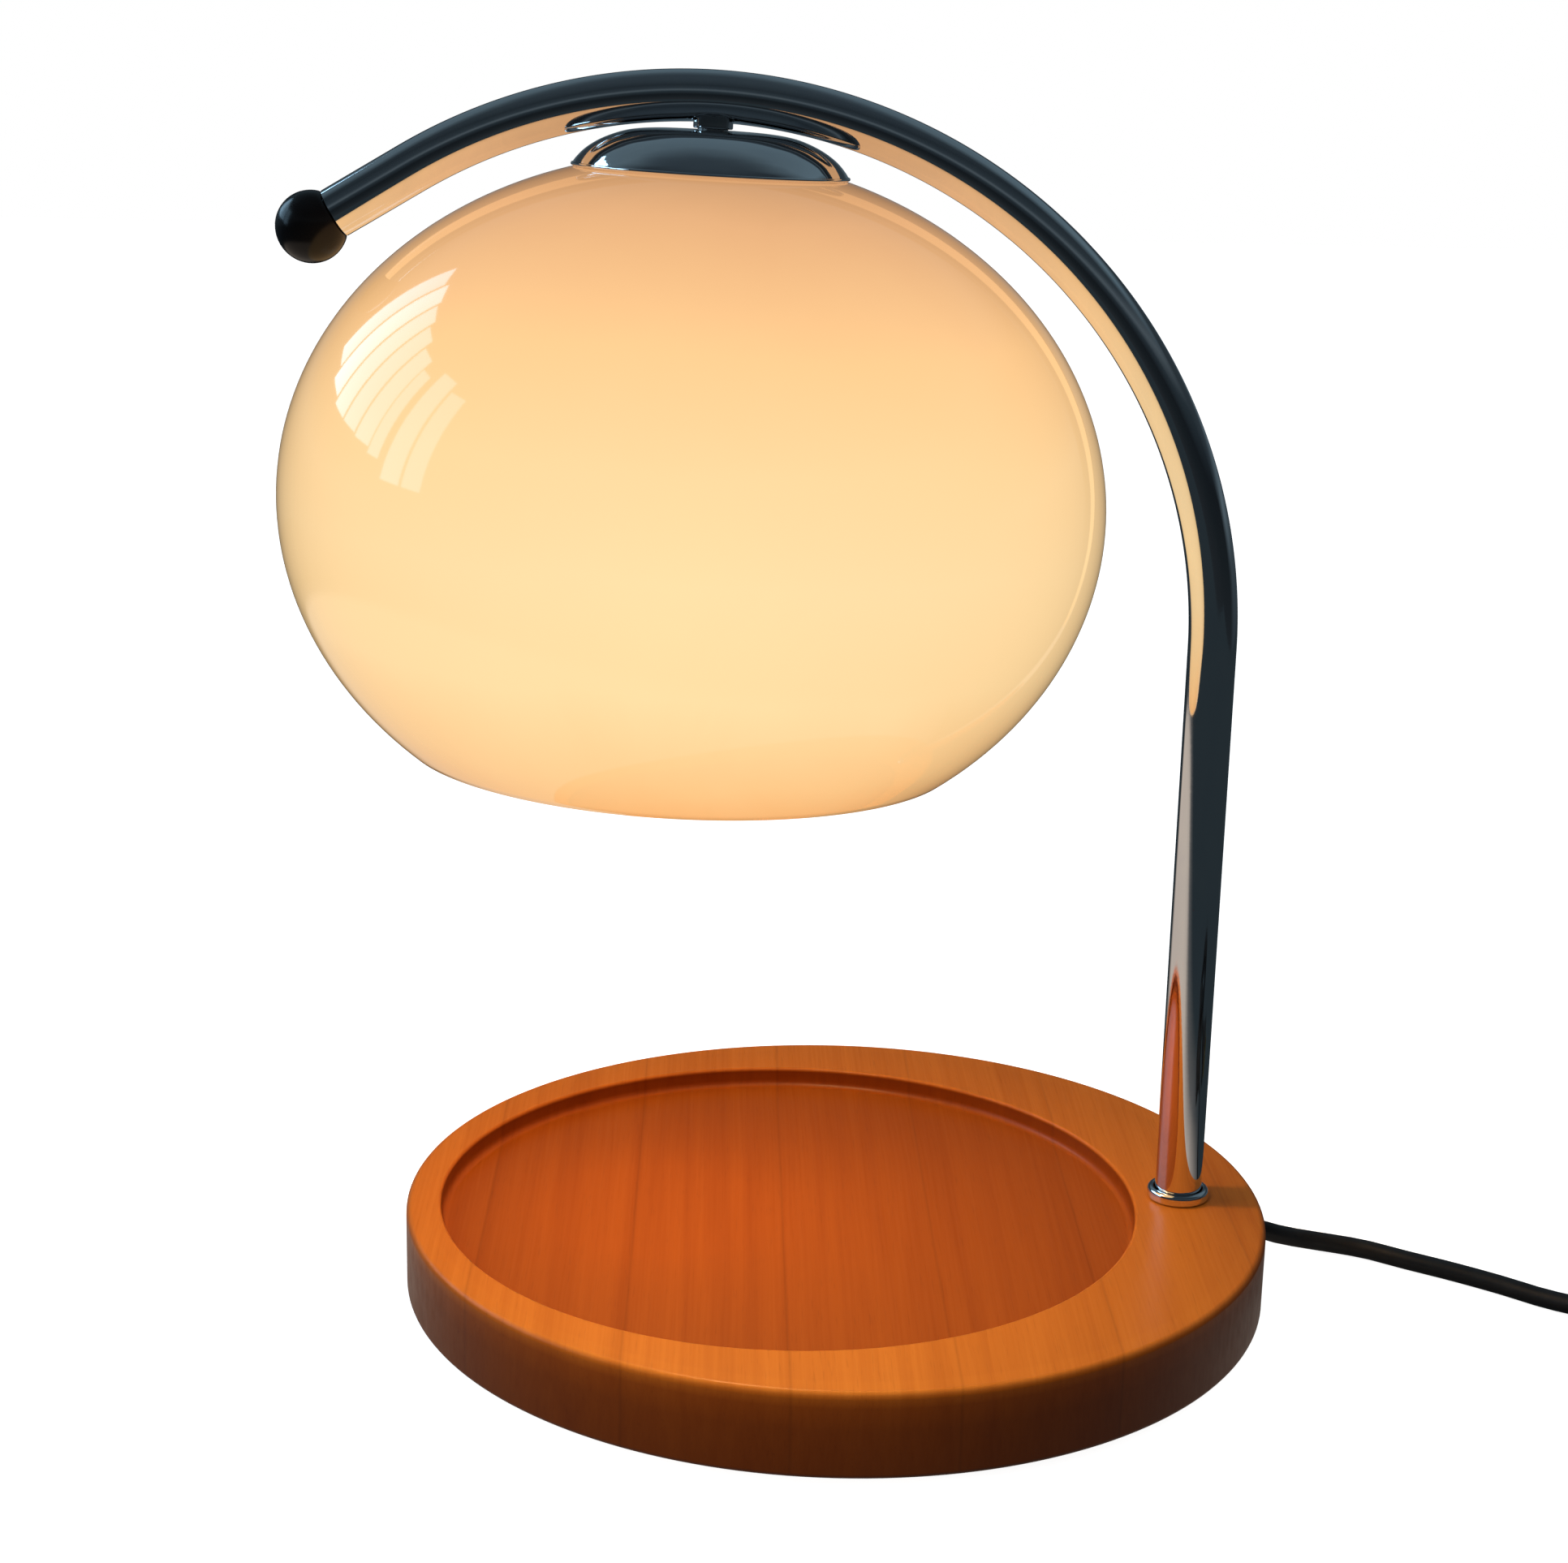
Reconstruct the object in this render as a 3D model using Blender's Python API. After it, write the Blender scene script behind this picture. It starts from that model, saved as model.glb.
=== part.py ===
"""Candle warmer lamp: a wooden tray base, a bent chrome tube with a ball end, and a glass shade that
hangs under the arch over a reflector bulb, with a dimmer and a plug on its cord.

Metres, +Z up. The lamp stands on z = 0 and its box, without the cord, is centred on the origin in x and y.
The pole stands on the +X side, and the cord leaves the base on the same side.
"""
import math

import bmesh
import bpy
from mathutils import Matrix, Vector

for old in list(bpy.data.objects):
    bpy.data.objects.remove(old, do_unlink=True)

# Clearances and cutters
gap = 0.0003
overrun = 0.002
weld = 0.000001
smooth_angle = math.radians(35)

# Base
foot_height = 0.002
foot_radius = 0.007
foot_inset = 0.030
foot_edge_share = 0.25
base_radius = 0.092
base_thickness = 0.0177
base_edge_round = 0.0014
recess_rim = 0.0175
recess_depth = 0.0045
recess_fillet = 0.0015
recess_offset = 0.0102
web_thickness = 0.0045
pocket_wall = 0.012
rebate_wall = 0.004
rebate_depth = 0.0015
cover_thickness = 0.0012
ballast_inset = 0.040
ballast_offset = 0.020
ballast_thickness = 0.004
ballast_screw_inset = 0.012

# Screws of the base
screw_radius = 0.0015
screw_head_radius = 0.0028
screw_head_height = 0.0013
screw_crown_share = 0.8
cover_screw_inset = 0.008
cover_screw_length = 0.008
inner_screw_tip = 0.0025

# Pole, arch and the ball on its end
tube_radius = 0.005
tube_wall = 0.001
pole_inset = 0.0177
arch_clearance = 0.0251
arch_height = 0.1410
arch_sweep = math.radians(120.6)
arch_tail = 0.0174
tube_tail = 0.012
ball_radius = 0.0071
ball_plug_length = 0.006
foot_ring_radius = 0.00665
foot_ring_height = 0.0022
foot_ring_round = 0.0009

# Clamp of the tube under the wood
nut_pocket_radius = 0.011
nut_pocket_extra = 0.003
nut_flange_radius = 0.0098
nut_flange_thickness = 0.0012
clamp_nut_width = 0.016
clamp_nut_height = 0.0052

# Wires in the tube
wire_radius = 0.0007
wire_spread = 0.0011
wire_bend = 0.0024
wire_drop = 0.0017
wire_spread_shares = (0.0, 0.2, 0.4, 0.6, 0.8, 1.0)

# Cord and its outlet in the base
cord_diameter = 0.0042
outlet_y = 0.014
outlet_height = 0.006
bush_radius = 0.0035
bush_length = 0.0065
bush_proud = 0.0004
lead_height = 0.0072
lead_rise_shares = (0.10, 0.30, 0.55)
clamp_inset = 0.022
clamp_length = 0.008
clamp_side = 0.0036
clamp_screw_margin = 0.0039
clamp_bottom = 0.004
clamp_screw_offset = 0.0057
block_spacing = 0.014
block_length = 0.012
block_low_y = -0.0035
block_high_y = 0.0185
block_hole_depth = 0.004

# Shade axis: it leans with the arch's radius where the shade hangs
shade_lean = math.radians(2.2)
shade_radius = 0.0829
shade_half_height = 0.0689
glass_wall = 0.003
neck_radius = 0.021
opening_radius = 0.0563
glass_rim_round = 0.0004

# Boss, stem and cap
boss_radius = 0.0039
boss_length = 0.0012
stem_radius = 0.003
stem_bore = 0.002
cap_seat_clearance = 0.0013
cap_height = 0.0081
cap_wall = 0.0011
cap_profile_shares = (
    (0.26, 1.0), (0.40, 0.985), (0.531, 0.945), (0.641, 0.862), (0.762, 0.705),
    (0.85, 0.535), (0.915, 0.365), (0.974, 0.18), (1.0, 0.0))
stem_nut_width = 0.010
stem_nut_height = 0.003

# Seal and retainer of the glass
seal_flange_radius = 0.025
seal_inner_radius = 0.0178
seal_thickness = 0.001
retainer_radius = 0.0255
retainer_thickness = 0.0015

# Lampholder
bracket_radius = 0.013
bracket_thickness = 0.0012
holder_radius = 0.013
holder_height = 0.017
holder_cavity_radius = 0.0085
holder_cavity_depth = 0.009
holder_plate = 0.0019
pin_spread = 0.005
pin_head_radius = 0.0025
pin_head_height = 0.0026
pin_neck_radius = 0.0015
twist = math.radians(30)
contact_thickness = 0.0012
contact_stud_radius = 0.0009
holder_screw_circle = 0.0108
holder_screw_radius = 0.001
holder_screw_length = 0.006
holder_screw_head = 0.0018
holder_screw_crown = 0.0013

# Reflector bulb
bulb_neck_radius = 0.0126
bulb_core_radius = 0.011
bulb_base_height = 0.0053
bulb_core_length = 0.0055
bulb_face_radius = 0.0252
bulb_length = 0.0445
bulb_wall = 0.0012
bulb_flare = 0.62
lens_thickness = 0.0016
capsule_radius = 0.0045
capsule_length = 0.022

# Dimmer on the cord
dimmer_length = 0.058
dimmer_width = 0.030
dimmer_height = 0.016
dimmer_corner = 0.011
dimmer_edge_round = 0.002
dimmer_edge_shares = (0.0, 0.3, 1.0)
dimmer_wall = 0.0016
dimmer_screw_offset = 0.0215
dimmer_boss_radius = 0.0034
dimmer_screw_radius = 0.0012
dimmer_head_radius = 0.0024
dimmer_head_height = 0.0014
dimmer_screw_length = 0.0112
board_length = 0.034
board_width = 0.022
board_thickness = 0.0016
board_height = 0.005
board_post_radius = 0.0013
board_post_x = 0.014
board_post_y = 0.008
pot_radius = 0.008
pot_height = 0.0052
pot_floor = 0.0013
dial_radius = 0.0098
dial_height = 0.0046
dial_stem_radius = 0.0022
dial_ribs = 24
dial_rib_depth = 0.0004
dial_edge_inset = 0.0007
dial_mark_width = 0.0012
dial_mark_height = 0.0005
dial_mark_shares = (0.35, 0.85)
relief_length = 0.020
relief_radius = 0.0042
relief_tip_radius = 0.0028
relief_neck_radius = 0.003
relief_flange_radius = 0.0046
relief_flange = 0.0014

# Plug
plug_length = 0.024
plug_width = 0.023
plug_height = 0.013
plug_corner = 0.003
plug_tail = 0.020
plug_tail_width = 0.0069
blade_length = 0.016
blade_width = 0.00635
blade_thickness = 0.0015
blade_spread = 0.00635
blade_root = 0.004

# The plug's profile: shares of its length, its width and its height
plug_profile_shares = (
    (-0.01, 0.42, 0.80), (0.30, 0.90, 1.00), (0.55, 1.00, 1.00), (0.94, 1.00, 1.00), (1.00, 0.93, 0.96))

# Coil of the spare cord
coil_turns = 3.75
coil_climb_turns = 0.5
coil_inner_radius = 0.0168
coil_pitch = cord_diameter + 0.0006
coil_layer = cord_diameter + 0.0005

# Counts
round_sides = 48
glass_sides = 36
fitting_sides = 24
small_sides = 16
fine_sides = 12
arch_steps = 20
corner_steps = 3
loop_points = 24

# Radii and places that follow the base and the shade
recess_radius = base_radius - recess_rim
pocket_radius = base_radius - pocket_wall
rebate_radius = base_radius - rebate_wall
foot_circle = base_radius - foot_inset
cover_screw_circle = base_radius - cover_screw_inset
ballast_radius = base_radius - ballast_inset
ballast_screw_spread = ballast_radius - ballast_screw_inset
clamp_offset = pocket_radius - clamp_inset
block_offset = clamp_offset - block_spacing
pole_offset = base_radius - pole_inset
arch_radius = shade_radius + arch_clearance
cap_seat_radius = seal_flange_radius + cap_seat_clearance + cap_wall


def glass_outer(radius):
    return shade_half_height * math.sqrt(1 - (radius / shade_radius) ** 2)


def glass_inner(radius):
    return (shade_half_height - glass_wall) * math.sqrt(1 - (radius / (shade_radius - glass_wall)) ** 2)


# Derived heights and places
shade_drop = glass_outer(cap_seat_radius) + gap + cap_height + gap + boss_length + tube_radius
base_top = foot_height + base_thickness
recess_floor = base_top - recess_depth
pocket_ceiling = recess_floor - web_thickness
cover_bottom = foot_height + gap
cover_top = cover_bottom + cover_thickness
nut_ceiling = pocket_ceiling + nut_pocket_extra
tube_bottom = base_top - tube_tail
tube_bore = tube_radius - tube_wall
ball_flat = math.sqrt(ball_radius ** 2 - tube_radius ** 2)
ball_place = arch_tail + gap + ball_flat
shade_reach = shade_radius + arch_radius - pole_offset - (arch_radius - shade_drop) * math.sin(shade_lean)
base_x = (shade_reach - base_radius) / 2
pole_x = base_x + pole_offset
arch_x = pole_x - arch_radius
recess_x = base_x - recess_offset
wire_height = tube_bottom - wire_drop
cord_radius = cord_diameter / 2
cord_hole = cord_radius + gap

# Heights in the shade's own frame, whose origin is the centre of the glass
arch_centre_drop = arch_radius - shade_drop
arch_underside = shade_drop - tube_radius
boss_bottom = arch_underside - boss_length
cap_top = boss_bottom - gap
stem_top = arch_underside + tube_wall
stem_hole = stem_radius + gap
cap_nut_top = cap_top - cap_wall - gap
seal_bottom = glass_inner(seal_flange_radius) - gap - seal_thickness
retainer_top = seal_bottom - gap
retainer_bottom = retainer_top - retainer_thickness
retainer_nut_top = retainer_bottom - gap
bracket_top = retainer_nut_top - stem_nut_height - gap
holder_top = bracket_top - bracket_thickness - gap
holder_bottom = holder_top - holder_height
cavity_floor = holder_top - holder_cavity_depth
stem_bottom = holder_top - stem_nut_height - gap
pin_top = holder_bottom + holder_plate + gap + pin_head_height
contact_bottom = pin_top + gap
channel_roof = contact_bottom + contact_thickness + gap
contact_stud_top = cavity_floor + contact_thickness
bulb_top = holder_bottom - gap
bulb_shoulder = bulb_top - bulb_base_height
bulb_face = bulb_shoulder - gap - bulb_length


# Building blocks

def material(name, colour, roughness, metallic=0.0, alpha=1.0):
    made = bpy.data.materials.new(name)
    made.use_nodes = True
    shader = made.node_tree.nodes["Principled BSDF"]
    shader.inputs["Base Color"].default_value = (*colour, 1.0)
    shader.inputs["Roughness"].default_value = roughness
    shader.inputs["Metallic"].default_value = metallic
    shader.inputs["Alpha"].default_value = alpha
    made.diffuse_color = (*colour, alpha)
    return made


def finish_object(item, look, parent=None, place=(0, 0, 0)):
    item.data.materials.append(material(item.name, *look))
    item.location = place
    item.parent = parent
    return item


def from_bmesh(name, bm):
    bmesh.ops.remove_doubles(bm, verts=bm.verts, dist=weld)
    bmesh.ops.recalc_face_normals(bm, faces=bm.faces)
    mesh = bpy.data.meshes.new(name)
    bm.to_mesh(mesh)
    bm.free()
    mesh.shade_smooth()
    mesh.set_sharp_from_angle(angle=smooth_angle)
    item = bpy.data.objects.new(name, mesh)
    bpy.context.collection.objects.link(item)
    return item


def turned(bm, outline, sides, shift=(0, 0, 0)):
    """Turn an outline of (radius, height) round Z: a ring if it stays off the axis, else a solid."""
    before = set(bm.verts)
    verts = [bm.verts.new((radius, 0, height)) for radius, height in outline]
    edges = [bm.edges.new(pair) for pair in zip(verts, verts[1:])]
    if outline[0][0] > 0:
        edges.append(bm.edges.new((verts[-1], verts[0])))
    bmesh.ops.spin(bm, geom=verts + edges, axis=(0, 0, 1), cent=(0, 0, 0),
                   angle=math.tau, steps=sides, use_merge=True)
    fresh = [vert for vert in bm.verts if vert not in before]
    bmesh.ops.translate(bm, verts=fresh, vec=Vector(shift))


def cylinder(bm, radius, low, high, centre=(0, 0), sides=small_sides):
    turned(bm, [(0, high), (radius, high), (radius, low), (0, low)], sides, (centre[0], centre[1], 0))


def ring(bm, inner, outer, low, high, sides=small_sides):
    turned(bm, [(inner, high), (outer, high), (outer, low), (inner, low)], sides)


def block(bm, low, high):
    size = Vector(high) - Vector(low)
    middle = (Vector(high) + Vector(low)) / 2
    bmesh.ops.create_cube(bm, size=1, matrix=Matrix.Translation(middle) @ Matrix.Diagonal((*size, 1)))


def bridge(bm, rows, closed=False):
    """Faces between rows of as many vertices each; the last row meets the first, or both are capped."""
    pairs = list(zip(rows, rows[1:]))
    if closed:
        pairs.append((rows[-1], rows[0]))
    for here, there in pairs:
        for step in range(len(here)):
            after = (step + 1) % len(here)
            bm.faces.new((here[step], here[after], there[after], there[step]))
    if not closed:
        bm.faces.new(rows[0])
        bm.faces.new(rows[-1])


def prism(bm, levels, closed=False):
    """A solid through outlines with as many points each: (points, height) pairs."""
    bridge(bm, [[bm.verts.new((x, y, height)) for x, y in points] for points, height in levels], closed)


def circle(radius, sides):
    return [(radius * math.cos(turn), radius * math.sin(turn))
            for turn in (math.tau * step / sides for step in range(sides))]


def hexagon(width, sides):
    """Points on a hexagon of the given width across its flats."""
    points = []
    for x, y in circle(width / 2, sides):
        stretch = 1 / math.cos(math.atan2(y, x) % (math.pi / 3) - math.pi / 6)
        points.append((x * stretch, y * stretch))
    return points


def nut(bm, width, bore, low, high, sides=fine_sides):
    """A hexagon nut with a round bore."""
    flats = hexagon(width, sides)
    hole = circle(bore, sides)
    prism(bm, [(hole, high), (flats, high), (flats, low), (hole, low)], True)


def swept(bm, points, radius, sides):
    """A solid round tube along points that lie in a plane of constant y."""
    rows = []
    for index, point in enumerate(points):
        before = points[max(index - 1, 0)]
        after = points[min(index + 1, len(points) - 1)]
        along = (after - before).normalized()
        side = Vector((0, 1, 0))
        other = along.cross(side)
        rows.append([bm.verts.new(point + x * side + y * other) for x, y in circle(radius, sides)])
    bridge(bm, rows)


def arc(centre, radius, start, end, count):
    """Points (radius, height) along a round stretch, with both ends; angles in degrees."""
    turns = [math.radians(start + (end - start) * step / count) for step in range(count + 1)]
    return [(centre[0] + radius * math.cos(turn), centre[1] + radius * math.sin(turn)) for turn in turns]


def rounded_plan(length, width, corner, count=corner_steps):
    """A rectangle with round corners, as (x, y) points."""
    points = []
    for side_x, side_y, start in ((1, 1, 0), (-1, 1, 90), (-1, -1, 180), (1, -1, 270)):
        centre = (side_x * (length / 2 - corner), side_y * (width / 2 - corner))
        points += arc(centre, corner, start, start + 90, count)
    return points


def cut(item, build, name, operation="DIFFERENCE"):
    """Cut item with, or join to it, the solids that build adds to a bmesh in item's own frame."""
    bm = bmesh.new()
    build(bm)
    tool = from_bmesh(name, bm)
    tool.parent = item
    tool.hide_render = True
    tool.display_type = "WIRE"
    modifier = item.modifiers.new(name, "BOOLEAN")
    modifier.object = tool
    modifier.operation = operation
    modifier.solver = "EXACT"


def solid(name, look, build, parent=None, place=(0, 0, 0), turn=None):
    """One named piece from the solids that build adds to a bmesh."""
    bm = bmesh.new()
    build(bm)
    if turn is not None:
        bm.transform(turn)
    return finish_object(from_bmesh(name, bm), look, parent, place)


def cord_curve(name, look, points, radius, resolution):
    """A round cord along points, as a poly curve with filled caps."""
    curve = bpy.data.curves.new(name, "CURVE")
    curve.dimensions = "3D"
    curve.bevel_depth = radius
    curve.bevel_resolution = resolution
    curve.use_fill_caps = True
    spline = curve.splines.new("POLY")
    spline.points.add(len(points) - 1)
    for slot, point in zip(spline.points, points):
        slot.co = (*point, 1)
    item = bpy.data.objects.new(name, curve)
    bpy.context.collection.objects.link(item)
    return finish_object(item, look)


def smooth_path(route, step):
    """Points at equal steps along a smooth curve through the route's points."""
    route = [Vector(point) for point in route]
    ends = [2 * route[0] - route[1]] + route + [2 * route[-1] - route[-2]]
    fine = []
    for first, start, end, last in zip(ends, ends[1:], ends[2:], ends[3:]):
        for part in range(24):
            share = part / 24
            fine.append(0.5 * (2 * start + (end - first) * share
                               + (2 * first - 5 * start + 4 * end - last) * share ** 2
                               + (3 * start - first - 3 * end + last) * share ** 3))
    fine.append(route[-1])
    lengths = [0.0]
    for here, there in zip(fine, fine[1:]):
        lengths.append(lengths[-1] + (there - here).length)
    count = max(2, round(lengths[-1] / step))
    points = []
    place = 0
    for index in range(count + 1):
        target = lengths[-1] * index / count
        while place < len(lengths) - 2 and lengths[place + 1] < target:
            place += 1
        span = lengths[place + 1] - lengths[place]
        share = (target - lengths[place]) / span if span else 0
        points.append(fine[place].lerp(fine[place + 1], share))
    return points


def path_length(points):
    return sum((there - here).length for here, there in zip(points, points[1:]))


# Looks: colour, roughness, metallic, alpha
wood = ((0.58, 0.22, 0.06), 0.35)
chrome = ((0.80, 0.80, 0.82), 0.08, 1.0)
steel = ((0.55, 0.55, 0.56), 0.35, 1.0)
brass = ((0.75, 0.58, 0.28), 0.30, 1.0)
black_gloss = ((0.01, 0.01, 0.012), 0.08)
black_matt = ((0.02, 0.02, 0.02), 0.55)
rubber = ((0.03, 0.03, 0.03), 0.80)
silicone = ((0.75, 0.74, 0.70), 0.60)
ceramic = ((0.86, 0.84, 0.80), 0.45)
opal_glass = ((0.96, 0.78, 0.52), 0.12, 0.0, 0.9)
clear_glass = ((0.9, 0.93, 0.95), 0.05, 0.0, 0.4)
mirror_coat = ((0.85, 0.84, 0.80), 0.12, 1.0)
board_green = ((0.05, 0.22, 0.10), 0.50)
wire_brown = ((0.25, 0.10, 0.04), 0.5)
wire_blue = ((0.05, 0.10, 0.40), 0.5)


# Base

def base_disc():
    edge = base_edge_round

    def body(bm):
        outline = [(0, base_top)]
        outline += arc((base_radius - edge, base_top - edge), edge, 90, 0, 3)
        outline += arc((base_radius - edge, foot_height + edge), edge, 0, -90, 1)
        outline += [(0, foot_height)]
        turned(bm, outline, round_sides)

    def recess(bm):
        fillet = recess_fillet
        outline = [(0, base_top + overrun), (recess_radius, base_top + overrun)]
        outline += arc((recess_radius - fillet, recess_floor + fillet), fillet, 0, -90, 2)
        outline += [(0, recess_floor)]
        turned(bm, outline, round_sides, (-recess_offset, 0, 0))

    def pocket(bm):
        ledge = foot_height + rebate_depth + gap
        turned(bm, [(0, pocket_ceiling), (pocket_radius, pocket_ceiling), (pocket_radius, ledge),
                    (rebate_radius, ledge), (rebate_radius, foot_height - overrun),
                    (0, foot_height - overrun)], round_sides)

    def pole_holes(bm):
        turned(bm, [(0, base_top + overrun), (tube_radius + gap, base_top + overrun),
                    (tube_radius + gap, nut_ceiling), (nut_pocket_radius, nut_ceiling),
                    (nut_pocket_radius, foot_height + rebate_depth), (0, foot_height + rebate_depth)],
               small_sides, (pole_offset, 0, 0))

    def screw_holes(bm):
        for x, y in cover_screw_places():
            cylinder(bm, screw_radius + gap, foot_height, cover_bottom + cover_screw_length + gap, (x, y),
                     fine_sides)
        for x, y in inner_screw_places():
            cylinder(bm, screw_radius + gap, pocket_ceiling - overrun,
                     recess_floor - inner_screw_tip + gap, (x, y), fine_sides)

    disc = solid("base_disc", wood, body, place=(base_x, 0, 0))
    cut(disc, recess, "recess_cutter")
    cut(disc, pocket, "pocket_cutter")
    cut(disc, pole_holes, "pole_hole_cutter")
    cut(disc, outlet_notch, "outlet_cutter")
    cut(disc, screw_holes, "screw_hole_cutter")


def round_places(circle, count, first):
    """Places on a circle round the base's axis, from the angle first in degrees."""
    return [(circle * math.cos(turn), circle * math.sin(turn))
            for turn in (math.radians(first + 360 * step / count) for step in range(count))]


def foot_places():
    return round_places(foot_circle, 4, 45)


def cover_screw_places():
    return round_places(cover_screw_circle, 3, 60)


def ballast_screw_places():
    return [(-ballast_offset, ballast_screw_spread), (-ballast_offset, -ballast_screw_spread)]


def clamp_screw_place():
    return (clamp_offset, outlet_y - clamp_screw_offset)


def block_screw_place():
    return (block_offset, (block_low_y + block_high_y) / 2)


def inner_screw_places():
    return ballast_screw_places() + [clamp_screw_place(), block_screw_place()]


def outlet_notch(bm):
    """The round-topped notch through the base's wall that the cord leaves by, open below."""
    notch(bm, pocket_radius - nut_pocket_radius)


def notch(bm, low_x):
    """A cutter along X with a round top at the cord's height and straight sides down past the foot."""
    width = bush_radius + gap
    plan = [(-outlet_height - width * math.sin(turn), outlet_y + width * math.cos(turn))
            for turn in (math.pi * step / 8 for step in range(9))]
    plan += [(-foot_height + overrun, outlet_y - width), (-foot_height + overrun, outlet_y + width)]
    made = bmesh.new()
    prism(made, [(plan, low_x), (plan, base_radius + overrun)])
    made.transform(Matrix.Rotation(math.pi / 2, 4, "Y"))
    join(bm, made)


def turned_along_x(bm, outline, sides, shift):
    """As turned, but round X: an outline of (radius, place along X)."""
    made = bmesh.new()
    turned(made, outline, sides)
    bmesh.ops.rotate(made, verts=made.verts, cent=(0, 0, 0), matrix=Matrix.Rotation(math.pi / 2, 3, "Y"))
    bmesh.ops.translate(made, verts=made.verts, vec=Vector(shift))
    join(bm, made)


def join(bm, made):
    """Add another bmesh's solids to bm."""
    copies = {vert: bm.verts.new(vert.co) for vert in made.verts}
    for face in made.faces:
        bm.faces.new([copies[vert] for vert in face.verts])
    made.free()


def outlet_cut(bm):
    """The same notch through the cover's edge."""
    notch(bm, outlet_x() - bush_length - gap)


def outlet_x():
    """Where the base's wall meets the middle of the cord outlet, from the base's axis."""
    return math.sqrt(base_radius ** 2 - outlet_y ** 2) + bush_proud


def base_cover():
    def sheet(bm):
        cylinder(bm, rebate_radius - gap, cover_bottom, cover_top, sides=round_sides)

    def holes(bm):
        for place in cover_screw_places():
            cylinder(bm, screw_radius + gap, foot_height - overrun, cover_top + overrun, place, fine_sides)

    cover = solid("base_cover", black_matt, sheet, place=(base_x, 0, 0))
    cut(cover, holes, "cover_hole_cutter")
    cut(cover, outlet_cut, "cover_outlet_cutter")


def feet():
    for number, (x, y) in enumerate(foot_places(), 1):
        edge = foot_height * foot_edge_share
        outline = [(0, foot_height), (foot_radius, foot_height), (foot_radius, edge),
                   (foot_radius - edge, 0), (0, 0)]
        solid(f"foot_{number}", rubber, lambda bm: turned(bm, outline, small_sides),
              place=(base_x + x, y, 0))


def screw(bm, place, seat, length, radius=screw_radius, head_radius=screw_head_radius,
          head_height=screw_head_height):
    """A pan head screw that points up, with the top of its head's face at height seat."""
    turned(bm, [(0, seat + length), (radius, seat + length - radius), (radius, seat), (head_radius, seat),
                (head_radius * screw_crown_share, seat - head_height), (0, seat - head_height)],
           fine_sides, (*place, 0))


def cover_screws():
    for number, place in enumerate(cover_screw_places(), 1):
        solid(f"cover_screw_{number}", steel,
              lambda bm: screw(bm, place, cover_bottom - gap, cover_screw_length), place=(base_x, 0, 0))


def ballast_plate():
    low = pocket_ceiling - gap - ballast_thickness

    def sheet(bm):
        cylinder(bm, ballast_radius, low, low + ballast_thickness, (-ballast_offset, 0), fitting_sides)

    def holes(bm):
        for place in ballast_screw_places():
            cylinder(bm, screw_radius + gap, low - overrun, pocket_ceiling, place, fine_sides)

    plate = solid("ballast_plate", steel, sheet, place=(base_x, 0, 0))
    cut(plate, holes, "ballast_hole_cutter")


def ballast_screws():
    seat = pocket_ceiling - 2 * gap - ballast_thickness

    for number, place in enumerate(ballast_screw_places(), 1):
        solid(f"ballast_screw_{number}", steel,
              lambda bm: screw(bm, place, seat, recess_floor - inner_screw_tip - seat), place=(base_x, 0, 0))


def foot_ring():
    edge = foot_ring_round
    low = base_top + gap
    high = low + foot_ring_height
    outline = [(tube_radius + gap, high)]
    outline += arc((foot_ring_radius - edge, high - edge), edge, 90, 0, 3)
    outline += [(foot_ring_radius, low), (tube_radius + gap, low)]
    solid("foot_ring", chrome, lambda bm: turned(bm, outline, small_sides), place=(pole_x, 0, 0))


def clamp_nut():
    """The nut that holds the tube in the wood, with its round flange."""
    high = nut_ceiling - gap
    bore = circle(tube_radius + gap, fitting_sides)
    rim = circle(nut_flange_radius, fitting_sides)
    flats = hexagon(clamp_nut_width, fitting_sides)
    seat = high - nut_flange_thickness
    low = high - clamp_nut_height
    solid("clamp_nut", steel,
          lambda bm: prism(bm, [(bore, high), (rim, high), (rim, seat), (flats, seat), (flats, low),
                                (bore, low)], True), place=(pole_x, 0, 0))


# Cord outlet and wiring in the base

def cord_bush():
    high = outlet_x()
    low = high - bush_length
    edge = gap
    outline = [(cord_hole, high), (bush_radius - edge, high), (bush_radius, high - edge),
               (bush_radius, low), (cord_hole, low)]
    solid("cord_bush", rubber,
          lambda bm: turned_along_x(bm, outline, small_sides, (0, outlet_y, outlet_height)),
          place=(base_x, 0, 0))


def lead_inside():
    """The cord inside the base, from the bush's outer face into the terminal block."""
    start = base_x + outlet_x()
    end = base_x + block_offset + block_length / 2 - block_hole_depth + gap
    reach = start - end
    rise = lead_height - outlet_height
    low_share, mid_share, high_share = lead_rise_shares
    route = [(start, outlet_y, outlet_height), (start - reach * low_share, outlet_y, outlet_height),
             (start - reach * mid_share, outlet_y, outlet_height + rise / 2),
             (start - reach * high_share, outlet_y, lead_height), (end, outlet_y, lead_height)]
    points = smooth_path(route, cord_diameter)
    cord_curve("lead_inside", black_matt, points, cord_radius, 2)


def cord_clamp():
    high = pocket_ceiling - gap

    def body(bm):
        low_y = outlet_y - clamp_screw_offset - clamp_screw_margin
        block(bm, (clamp_offset - clamp_length / 2, low_y, clamp_bottom),
              (clamp_offset + clamp_length / 2, outlet_y + clamp_side, high))

    def holes(bm):
        turned_along_x(bm, [(0, clamp_length), (cord_hole, clamp_length), (cord_hole, -clamp_length),
                            (0, -clamp_length)], small_sides, (clamp_offset, outlet_y, lead_height))
        inner_screw_hole(bm, clamp_screw_place())

    clamp = solid("cord_clamp", black_matt, body, place=(base_x, 0, 0))
    cut(clamp, holes, "clamp_hole_cutter")


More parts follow.
